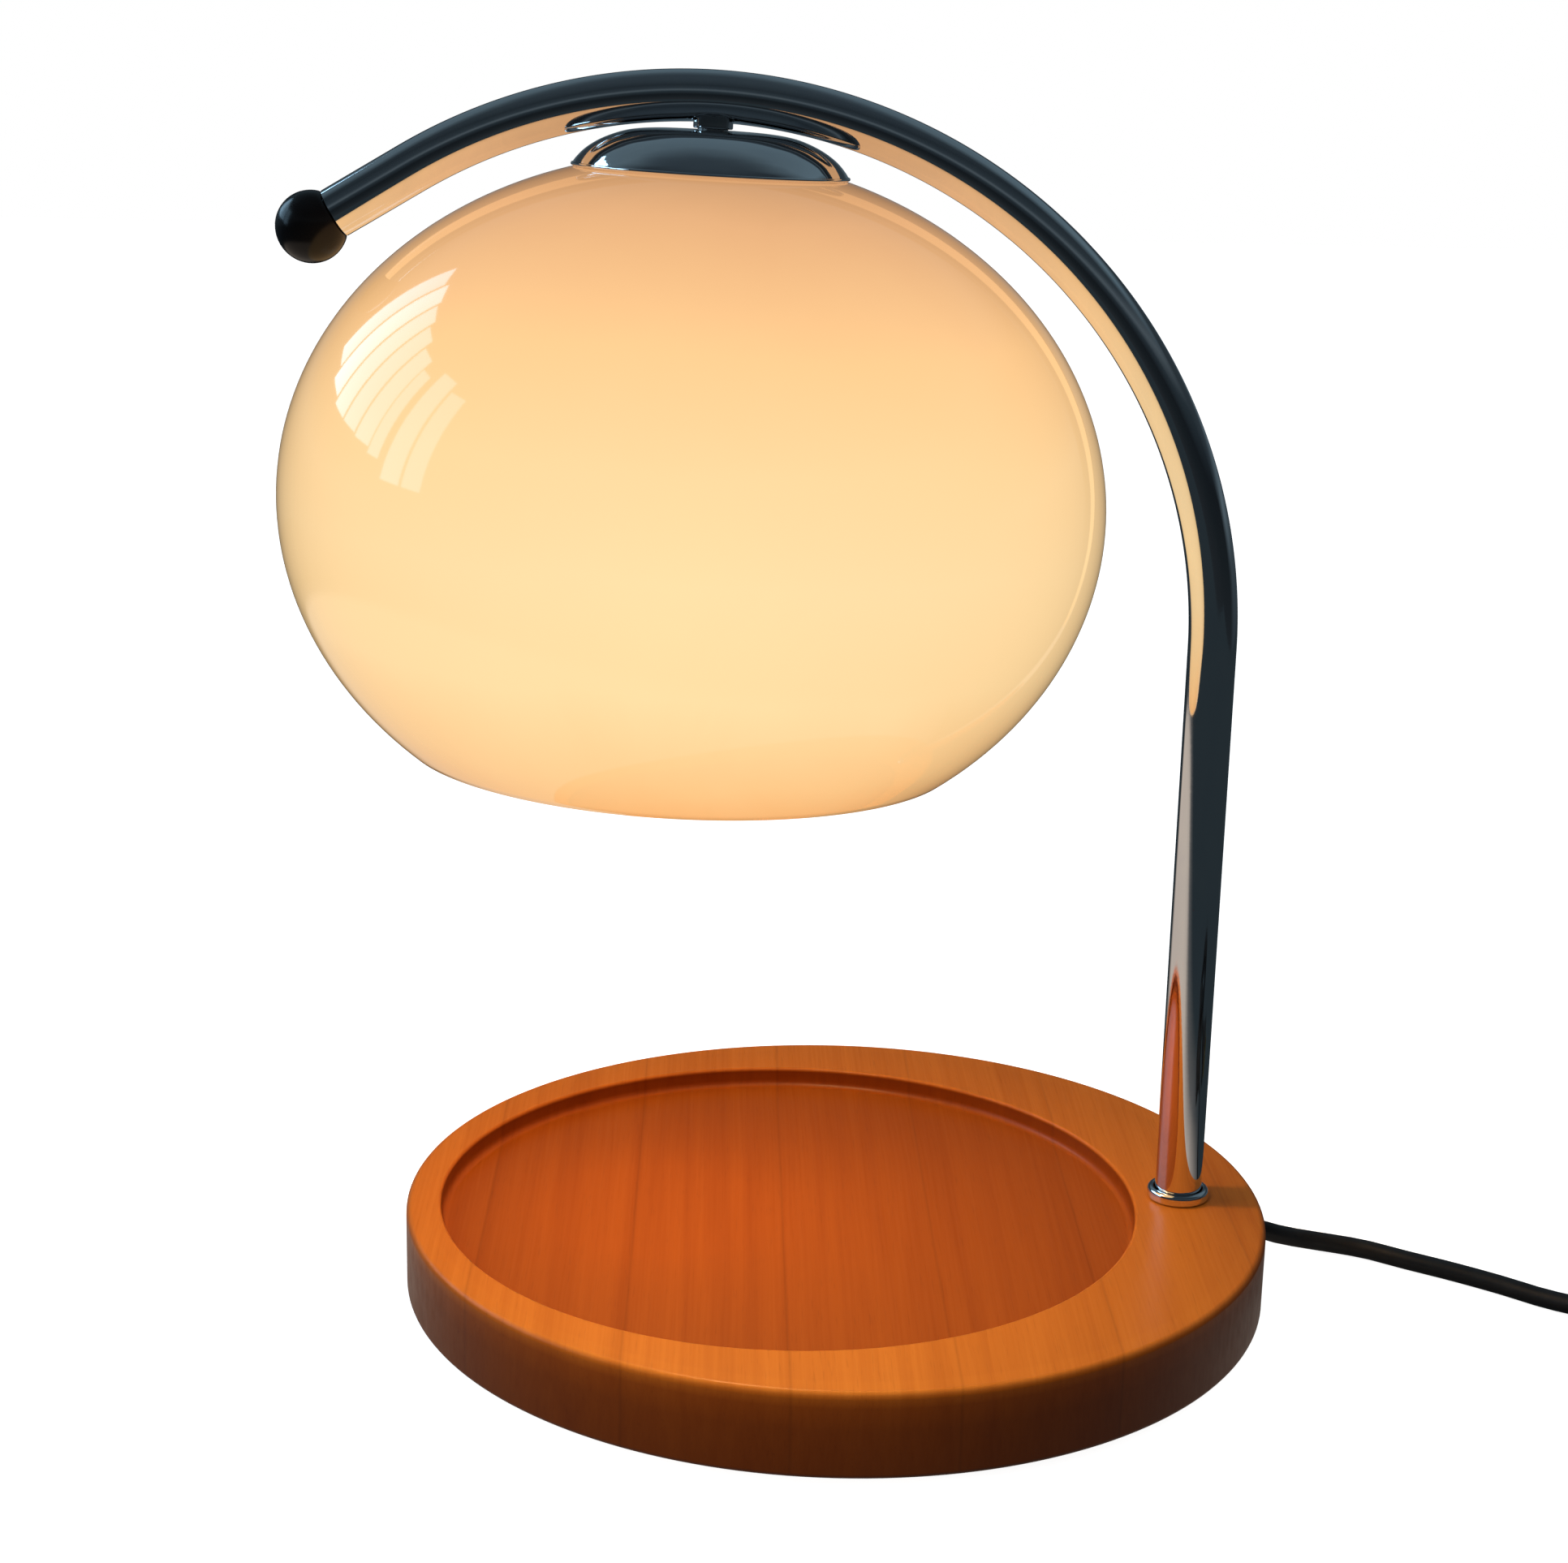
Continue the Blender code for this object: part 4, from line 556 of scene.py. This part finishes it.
def wooden_base():
    sides = 192
    outer = soft([(0, 0.0107), (0.080, 0.0107), (0.080, 0.0038), (0.088, 0.0038), (0.088, base_low),
                  (base_radius, base_low, 0.0012), (base_radius, base_top, 0.0014), (0.085, base_top)])
    tray = soft([(0.080, base_top), (recess_radius, base_top, 0.0007),
                 (recess_radius, recess_floor, 0.0015), (0, recess_floor)])
    rows = [[polar(radius, math.tau * step / sides, height) for step in range(sides if radius else 1)]
            for radius, height in outer[:-1]]
    rows += [[polar(radius, math.tau * step / sides, height) + Vector((recess_x - base_x, 0, 0))
              for step in range(sides if radius else 1)] for radius, height in tray[1:]]
    base = piece("wooden_base", strips(rows), wood, nodes=("base_disc",), place=base_frame)
    wide = 0.0038
    notch = [(0.014 + wide * math.cos(turn), 0.006 + wide * math.sin(turn))
             for turn in (math.pi * step / 24 for step in range(25))]
    notch += [(0.014 - wide, 0), (0.014 + wide, 0)]
    channel = strips([[(0.069, 0.014, 0.004)], [(0.069, y, z) for y, z in notch],
                      [(0.094, y, z) for y, z in notch], [(0.094, 0.014, 0.004)]])
    carve(base, [cylinder(0.0053, 0.012, 0.022, pole_x - base_x),
                 cylinder(0.011, 0.0035, 0.0137, pole_x - base_x), channel], base_frame)
    base.data.set_sharp_from_angle(angle=math.radians(35))
    even_light(base)


wooden_base()


# Feet, ring and bush

def fittings():
    for number, turn in enumerate((45, 135, 225, 315), 1):
        outline = soft([(0, 0), (0.0046, 0), (0.0048, 0.0003, 0.0002), (0.0056, 0.0003, 0.0002),
                        (0.0058, 0, 0.0001), (0.007, 0, 0.0005), (0.007, 0.002), (0, 0.002)], 3)
        piece(f"foot_pad_{number}", lathe(outline, 48), rubber, nodes=(f"foot_{number}",),
              place=base_frame @ Matrix.Translation(polar(0.062, math.radians(turn))))
    low, high = 0.0200, 0.0222
    ring = soft([(0.0053, low), (0.0053, high, 0.0003), (0.00665, high, 0.0009), (0.00665, low, 0.0002)])
    piece("pole_ring", lathe(ring, 96), chrome, nodes=("foot_ring",),
          place=Matrix.Translation((pole_x, 0, 0)))
    far = 0.0913286
    bush = soft([(0.0022, far), (0.0035, far, 0.0005), (0.0035, far - 0.0065), (0.0024, far - 0.0065)])
    piece("outlet_bush", lathe(bush, 48), rubber, nodes=("cord_bush",),
          place=Matrix.Translation((base_x, 0.014, 0.006)) @ along_x)


fittings()


# Tube, ball and the shade's boss

def arch_point(turn, radius=arch_radius):
    return Vector((arch_x + radius * math.cos(turn), 0, arch_height + radius * math.sin(turn)))


def arch():
    onward = Vector((-math.sin(arch_sweep), 0, math.cos(arch_sweep)))
    path = [Vector((pole_x, 0, 0.0077 + (arch_height - 0.0077) * step / 24)) for step in range(24)]
    path += [arch_point(arch_sweep * step / 132) for step in range(133)]
    path += [path[-1] + onward * arch_tail * step / 8 for step in range(1, 9)]
    verts, faces = tube(path, tube_radius, 64, 0.004)
    top = shade_drop - 0.005
    boss = lathe(soft([(0.0033, top - 0.0012), (0.0039, top - 0.0012, 0.0003), (0.0039, top + 0.0004),
                       (0.0039, top + 0.0012), (0.0033, top + 0.0012)]), 48)
    moved = [tuple(shade_frame @ Vector(point)) for point in boss[0]]
    faces = list(faces) + [[corner + len(verts) for corner in face] for face in boss[1]]
    piece("bent_tube", (list(verts) + moved, faces), chrome, nodes=("arch_tube",), sharp=50)
    flat, radius = 0.0050414, 0.0071
    outline = [(0, flat + 0.006), (0.0037, flat + 0.006), (0.0037, flat)]
    start = math.degrees(math.asin(flat / radius))
    outline += soft([(0.0037, flat), (radius * math.cos(math.radians(start)) - 0.0001, flat, 0.0001),
                     (radius * math.cos(math.radians(start - 4)), radius * math.sin(math.radians(start - 4)))],
                    3)[1:-1]
    outline += arc((0, 0), radius, start - 4, -90, 40)
    outline[-1] = (0, -radius)
    place = Matrix.Translation(path[-1] + onward * (flat + 0.0003)) \
        @ Matrix.Rotation(math.pi - arch_sweep, 4, "Y")
    piece("tube_end", lathe(outline, 96), gloss_black, nodes=("end_ball",), place=place)


arch()


# Cap and glass, in the shade's own frame

def glass_outer(radius):
    return 0.0689 * math.sqrt(1 - (radius / 0.0829) ** 2)


def cap():
    """A thin spun dome with a rolled foot on the glass."""
    radius, height, wall = 0.0274, 0.0081, 0.0011
    seat = glass_outer(radius) + 0.0003
    marks = [(0.26, 1.0), (0.40, 0.987), (0.531, 0.945), (0.641, 0.866), (0.762, 0.708), (0.85, 0.540),
             (0.915, 0.370), (0.966, 0.180), (0.985, 0.085)]
    bend = smooth_path([(reach * radius, 0, seat + rise * height) for reach, rise in marks], 0.0004)
    outline = [(0.0033, seat + height - 0.0001), (0.0035, seat + height)]
    outline += [(point.x, point.z) for point in bend]
    outline += arc((radius - 0.00035, seat + 0.00035), 0.00035, 60, -90, 8)
    inner = seat + 0.0004
    outline.append((radius - wall, inner))
    outline += [((radius - wall) * reach, inner + rise * (height - wall - 0.0004)) for reach, rise in marks[:-2][::-1]]
    outline.append((0.0033, seat + height - wall))
    piece("shade_cap", lathe(outline, 160), chrome, nodes=("cap",), place=shade_frame, sharp=50)


def glass():
    count = 72
    first, last = math.acos(0.021 / 0.0829), -math.acos(0.0563 / 0.0829)
    turns = [first + (last - first) * step / count for step in range(count + 1)]
    outer = [(0.0829 * math.cos(turn), 0.0689 * math.sin(turn)) for turn in turns]
    inner = [(0.0799 * math.cos(turn), 0.0659 * math.sin(turn)) for turn in reversed(turns)]
    here, there = Vector(outer[-1]), Vector(inner[0])
    middle, half = (here + there) / 2, (here - there).length / 2
    outward = Vector(((here - there).normalized().y, -(here - there).normalized().x))
    if outward.y > 0:
        outward = -outward
    rim = []
    for step in range(1, 8):
        turn = math.pi * step / 8
        rim.append(tuple(middle + (here - middle) * math.cos(turn) + outward * 0.0004 * math.sin(turn)))
    piece("glass_bowl", lathe(outer + rim + inner, 192), opal, nodes=("glass_shade",), place=shade_frame,
          sharp=60)


cap()
glass()


# Bulb

def bulb():
    top, length, wall = 0.0314907, 0.0445, 0.0012
    shares = [step / 24 for step in range(25)]
    outer = [(0.0126 + 0.0126 * share ** 0.62, top - length * share) for share in shares]
    inner = [(radius - wall, height) for radius, height in reversed(outer)]
    piece("reflector", lathe(outer + inner, 96), mirror_coat, "bulb", ("bulb_reflector",), shade_frame)
    face = top - length
    radius = 0.0126 + 0.0126 * ((length - 0.0016) / length) ** 0.62 - wall - 0.0003
    rows = [(0, face + 0.0016), (radius, face + 0.0016), (radius, face + 0.0003)]
    rings = [(radius * (1 - step / 20), face + 0.0001 + 0.0001 * math.cos(math.pi * step))
             for step in range(20)]
    piece("front_lens", lathe(rows + rings + [(0, face)], 96), lit_lens, "bulb", ("bulb_lens",), shade_frame)


bulb()


# Dimmer

def shell(name, nodes, joint, face, inner):
    """Half of the dimmer's case: a round-edged outside and a hollow inside."""
    rows = [[(0, 0, inner)], at_height(plan(0.0548, 0.0268, 0.0094), inner),
            at_height(plan(0.0548, 0.0268, 0.0094), joint)]
    inset = 0.00035
    rows.append(at_height(plan(0.058 - 2 * inset, 0.030 - 2 * inset, 0.011 - inset), joint))
    rows.append(at_height(plan(0.058, 0.030, 0.011), joint + math.copysign(inset, face - joint)))
    edge = math.copysign(0.002, face - joint)
    for step in range(9):
        turn = math.pi / 2 * step / 8
        inset = 0.002 * (1 - math.cos(turn))
        rows.append(at_height(plan(0.058 - 2 * inset, 0.030 - 2 * inset, 0.011 - inset),
                              face - edge * (1 - math.sin(turn))))
    rows.append([(0, 0, face)])
    made = piece(name, strips(rows), matt_black, nodes=nodes, place=dimmer_frame, sharp=40)
    even_light(made)
    return made


def relief(name, node_name, mirror):
    """A tapered relief with grooves round it, a neck in the case's end and a flange inside."""
    outline = [(0, 0.0260), (0.0046, 0.0260), (0.0046, 0.0272), (0.0029, 0.0272), (0.0029, 0.0292)]
    outline += [(0.0040, 0.0293), (0.0042, 0.0296)]
    for step in range(7):
        place = 0.0312 + 0.0026 * step
        reach = 0.0042 - 0.0014 * (place - 0.0293) / 0.020
        outline += [(reach, place - 0.0001), (reach - 0.0006, place + 0.0002),
                    (reach - 0.0006, place + 0.0008), (reach - 0.0001, place + 0.0011)]
    outline += [(0.0029, 0.0488), (0.0027, 0.0493), (0.0022, 0.0494), (0, 0.0494)]
    turn = Matrix.Rotation(math.pi, 4, "Z") if mirror else Matrix.Identity(4)
    return piece(name, lathe(outline, 48), rubber, nodes=(node_name,),
                 place=dimmer_frame @ Matrix.Translation((0, 0, 0.008)) @ turn @ along_x)


def dial():
    low, high, ribs = 0.0163, 0.0209, 48
    rows = []
    for height, inset, depth in ((low, 0.0002, 0.0003), (low + 0.0003, 0, 0.0004), (high - 0.0008, 0, 0.0004),
                                 (high - 0.0003, 0.0002, 0.0003), (high, 0.0009, 0.0)):
        rows.append([polar(0.0098 - inset - depth * (0.5 - 0.5 * math.cos(math.tau * step / 8)),
                           math.tau * step / (8 * ribs), height) for step in range(8 * ribs)])
    for share, height in ((0.80, high), (0.78, high - 0.0003), (0.30, high - 0.0005), (0, high - 0.0005)):
        rows.append([polar(0.0098 * share, math.tau * step / (8 * ribs), height)
                     for step in range(8 * ribs if share else 1)])
    stem = [[polar(radius, math.tau * step / (8 * ribs), height) for step in range(8 * ribs if radius else 1)]
            for radius, height in ((0, 0.0082), (0.0022, 0.0082), (0.0022, low))]
    knob = piece("dial_knob", strips(stem + rows), gloss_black, "dial", ("dimmer_dial",), dimmer_frame, 50)
    mark = [at_height([(x + 0.0058, y) for x, y in plan(0.0049, 0.0012, 0.0005, 6)], height)
            for height in (high - 0.0010, high + 0.0003)]
    mark.append(at_height([(x + 0.0058, y) for x, y in plan(0.0045, 0.0008, 0.0003, 6)], high + 0.0005))
    line = piece("dial_mark", strips([[(0.0058, 0, high - 0.0010)]] + mark + [[(0.0058, 0, high + 0.0005)]]),
                 gloss_black, "dial", place=dimmer_frame)
    return knob, line


lower = shell("dimmer_bottom", ("dimmer_lower",), 0.00785, 0, 0.0016)
carve(lower, [cylinder(0.0027, -0.001, 0.0030, side * 0.0215) for side in (-1, 1)], dimmer_frame)
even_light(lower)
upper = shell("dimmer_top", ("dimmer_upper",), 0.00815, 0.016, 0.0144)
carve(upper, [cylinder(0.0025, 0.0134, 0.0170)], dimmer_frame)
even_light(upper)
relief_in = relief("relief_in", "relief_lamp_side", True)
relief_out = relief("relief_out", "relief_plug_side", False)
knob, mark = dial()


# Plug

def plug():
    rows = []
    levels = ((-0.020, 0.0069, 0.0069), (-0.0196, 0.0072, 0.0072), (-0.0030, 0.0100, 0.0102),
              (-0.0002, 0.0103, 0.0100), (0.0005, 0.0108, 0.0104), (0.0040, 0.0170, 0.0122),
              (0.0072, 0.0207, 0.0129), (0.0110, 0.0226, 0.0130), (0.0180, 0.0230, 0.0130),
              (0.0226, 0.0230, 0.0130), (0.0236, 0.0224, 0.0127), (0.0240, 0.0214, 0.0120))
    for place, wide, high in levels:
        corner = min(0.003, high * 0.46)
        rows.append([(place, y, z + 0.0065) for y, z in plan(wide, high, corner, 8)])
    rows = [[(levels[0][0], 0, 0.0065)]] + rows + [[(levels[-1][0], 0, 0.0065)]]
    body = piece("plug_grip", strips(rows), matt_black, nodes=("plug_body",), place=plug_frame, sharp=40)
    return body


plug_grip = plug()


# Finishes of the remaining pieces

finishes = {
    felt: ["base_cover"],
    steel: ["cover_screw_1", "cover_screw_2", "cover_screw_3", "ballast_plate", "ballast_screw_1",
            "ballast_screw_2", "clamp_nut", "clamp_screw", "block_screw", "stem", "cap_nut",
            "retainer_disc", "retainer_nut", "holder_bracket", "holder_screw_1", "holder_screw_2",
            "holder_nut", "bulb_pin_live", "bulb_pin_neutral", "dimmer_screw_1", "dimmer_screw_2"],
    matt_black: ["lead_inside", "cord_clamp"],
    ceramic: ["terminal_block", "lampholder", "bulb_base"],
    silicone: ["glass_seal"],
    brass: ["contact_live", "contact_neutral", "plug_blade_1", "plug_blade_2"],
    clear: ["bulb_capsule"],
    board: ["dimmer_board"],
    brown_wire: ["wire_live"],
    blue_wire: ["wire_neutral"]}
for look, names in finishes.items():
    for name in names:
        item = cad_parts[name]
        item.data.materials.clear()
        item.data.materials.append(look)


# Light

def area_light(name, place, target, width, height, power, colour):
    light = bpy.data.lights.new(name, "AREA")
    light.shape, light.size, light.size_y = "RECTANGLE", width, height
    light.energy, light.color = power, colour
    made = bpy.data.objects.new(name, light)
    scene.collection.objects.link(made)
    made.location = place
    made.rotation_euler = (Vector(target) - Vector(place)).to_track_quat("-Z", "Y").to_euler()
    made.visible_camera = False
    return made


def spot_light(name, power, colour, size, cone, blend):
    light = bpy.data.lights.new(name, "SPOT")
    light.energy, light.color, light.shadow_soft_size = power, colour, size
    light.spot_size, light.spot_blend = math.radians(cone), blend
    made = bpy.data.objects.new(name, light)
    scene.collection.objects.link(made)
    made.visible_glossy = name == "bulb_glow"
    return made


def toward(azimuth, distance, height):
    turn = math.radians(azimuth)
    return Vector((-0.02 + distance * math.sin(turn), -distance * math.cos(turn), height))


def lighting():
    for name, azimuth, wide, low, high, radiance in (
            ("window_1", -133.0, 0.13, 0.52, 1.16, 2.6), ("window_2", -125.5, 0.15, 0.48, 1.20, 3.4),
            ("window_3", -117.5, 0.15, 0.46, 1.18, 3.0), ("window_4", -109.5, 0.15, 0.46, 1.14, 2.6),
            ("window_5", -101.5, 0.15, 0.45, 1.08, 2.5), ("window_6", -95.0, 0.10, 0.42, 1.00, 2.2),
            ("window_7", -86.0, 0.15, 0.33, 1.10, 2.2), ("window_8", -78.0, 0.14, 0.33, 1.02, 1.9)):
        place = toward(azimuth, 1.2, (low + high) / 2)
        area_light(name, place, (-0.02, 0, (low + high) / 2), wide, high - low,
                   1.4 * radiance * math.pi * wide * (high - low), (0.46, 0.75, 1.0))
    base_face = Vector((0.0, -0.075, 0.016))
    for name, place, power, colour, size, cone in (
            ("front_fill", toward(-8.0, 0.19, 0.25), 1.5, (1.0, 1.0, 0.80), 0.03, 54),
            ("side_fill", toward(-66.0, 1.10, 0.14), 22.0, (1.0, 0.90, 0.78), 0.10, 14)):
        fill = spot_light(name, power, colour, size, cone, 1.0)
        fill.location = place
        fill.rotation_euler = (base_face - place).to_track_quat("-Z", "Y").to_euler()
    glow = spot_light("bulb_glow", 0.85, (1.0, 0.56, 0.24), 0.010, 125, 0.6)
    glow.matrix_world = shade_frame @ Matrix.Translation((0, 0, -0.0145))


def surroundings():
    world = bpy.data.worlds.new("room")
    scene.world = world
    world.use_nodes = True
    tree = world.node_tree
    tree.nodes.clear()
    where = node(tree, "TexCoord", out=0)
    height = node(tree, "SeparateXYZ", {0: where}, out=2)
    share = node(tree, "MapRange", {"Value": height, "From Min": -1.0, "From Max": 1.0})
    soft_fill = ramp(tree, share, ((0.0, 0.01), (0.46, 0.03), (0.52, 0.16), (1.0, 0.42)))
    clouds = noise(tree, where, 1.8, 2)
    wisps = node(tree, "Math", {0: node(tree, "Math", {0: clouds, 1: -0.5}, operation="ADD"), 1: 0.05,
                                2: share}, operation="MULTIPLY_ADD")
    apart = node(tree, "SeparateXYZ", {0: where}, out=1)
    front = ramp(tree, wisps, ((0.0, (0.030, 0.030, 0.030)), (0.36, (0.018, 0.022, 0.026)),
                               (0.47, (0.010, 0.014, 0.017)), (0.55, (0.008, 0.011, 0.014)),
                               (0.645, (0.020, 0.030, 0.038)), (0.70, (0.070, 0.092, 0.108)),
                               (0.76, (0.026, 0.038, 0.048)), (0.86, (0.016, 0.024, 0.031)),
                               (1.0, (0.030, 0.044, 0.056))))
    back = ramp(tree, wisps, ((0.0, (0.030, 0.030, 0.030)), (0.36, (0.022, 0.030, 0.038)),
                              (0.48, (0.040, 0.056, 0.068)), (0.53, (0.090, 0.128, 0.154)),
                              (0.59, (0.028, 0.040, 0.050)), (0.69, (0.024, 0.034, 0.042)),
                              (0.76, (0.100, 0.152, 0.188)), (0.92, (0.080, 0.120, 0.148)),
                              (1.0, (0.030, 0.044, 0.056))))
    behind = node(tree, "MapRange", {"Value": apart, "From Min": -0.15, "From Max": 0.25})
    room = node(tree, "Mix", {0: behind, 6: front, 7: back}, out=2, data_type="RGBA")
    fill = node(tree, "Background", {"Color": soft_fill, "Strength": 1.0})
    mirror = node(tree, "Background", {"Color": room, "Strength": 1.0})
    plain = node(tree, "Background", {"Color": (1, 1, 1, 1), "Strength": 1.0})
    rays = tree.nodes.new("ShaderNodeLightPath")
    mixed = node(tree, "MixShader", {0: rays.outputs["Is Glossy Ray"], 1: fill, 2: mirror})
    mixed = node(tree, "MixShader", {0: rays.outputs["Is Camera Ray"], 1: mixed, 2: plain})
    out = tree.nodes.new("ShaderNodeOutputWorld")
    tree.links.new(mixed, out.inputs["Surface"])


def floor():
    mesh = bpy.data.meshes.new("floor")
    mesh.from_pydata([(-4, -4, 0), (4, -4, 0), (4, 4, 0), (-4, 4, 0)], [], [(0, 1, 2, 3)])
    made = bpy.data.objects.new("floor", mesh)
    scene.collection.objects.link(made)
    look = mottled("floor", (0.80, 0.80, 0.80), (0.83, 0.83, 0.83), (0.8, 0.9), 3, 60, 0.02,
                   Emission_Strength=0.92, Emission_Color=(1, 1, 1, 1))
    mesh.materials.append(look)
    made.visible_diffuse = False
    made.visible_glossy = False


def table_glow():
    """The lit table round the lamp, seen in its polished pieces only."""
    mesh = bpy.data.meshes.new("table_glow")
    mesh.from_pydata([(-0.8, -0.8, 0), (0.8, -0.8, 0), (0.8, 0.8, 0), (-0.8, 0.8, 0)], [], [(0, 1, 2, 3)])
    made = bpy.data.objects.new("table_glow", mesh)
    scene.collection.objects.link(made)
    look, tree, shader = new_look("table_glow")
    where = node(tree, "TexCoord", out=3)
    away = node(tree, "VectorMath", {0: where, 1: (-0.12, 0.13, 0)}, out=1, operation="DISTANCE")
    lit = ramp(tree, away, ((0.0, (0.54, 0.46, 0.40)), (0.26, (0.56, 0.48, 0.41)),
                            (0.31, (0.50, 0.43, 0.37)), (0.35, (0.10, 0.10, 0.10)),
                            (0.40, (0.020, 0.029, 0.035))))
    corner = node(tree, "VectorMath", {0: where, 1: (1, 1, 0)}, out=1, operation="DOT_PRODUCT")
    shaded = node(tree, "MapRange", {"Value": corner, "From Min": 0.16, "From Max": 0.05})
    tree.links.new(node(tree, "Mix", {0: shaded, 6: (0.020, 0.029, 0.035, 1), 7: lit}, out=2,
                        data_type="RGBA"), shader.inputs["Emission Color"])
    shader.inputs["Emission Strength"].default_value = 1.0
    shader.inputs["Base Color"].default_value = (0, 0, 0, 1)
    shader.inputs["Specular IOR Level"].default_value = 0.0
    mesh.materials.append(look)
    made.visible_camera = False
    made.visible_diffuse = False
    made.visible_shadow = False


lighting()
surroundings()
floor()
table_glow()
scene.view_settings.view_transform = "Standard"
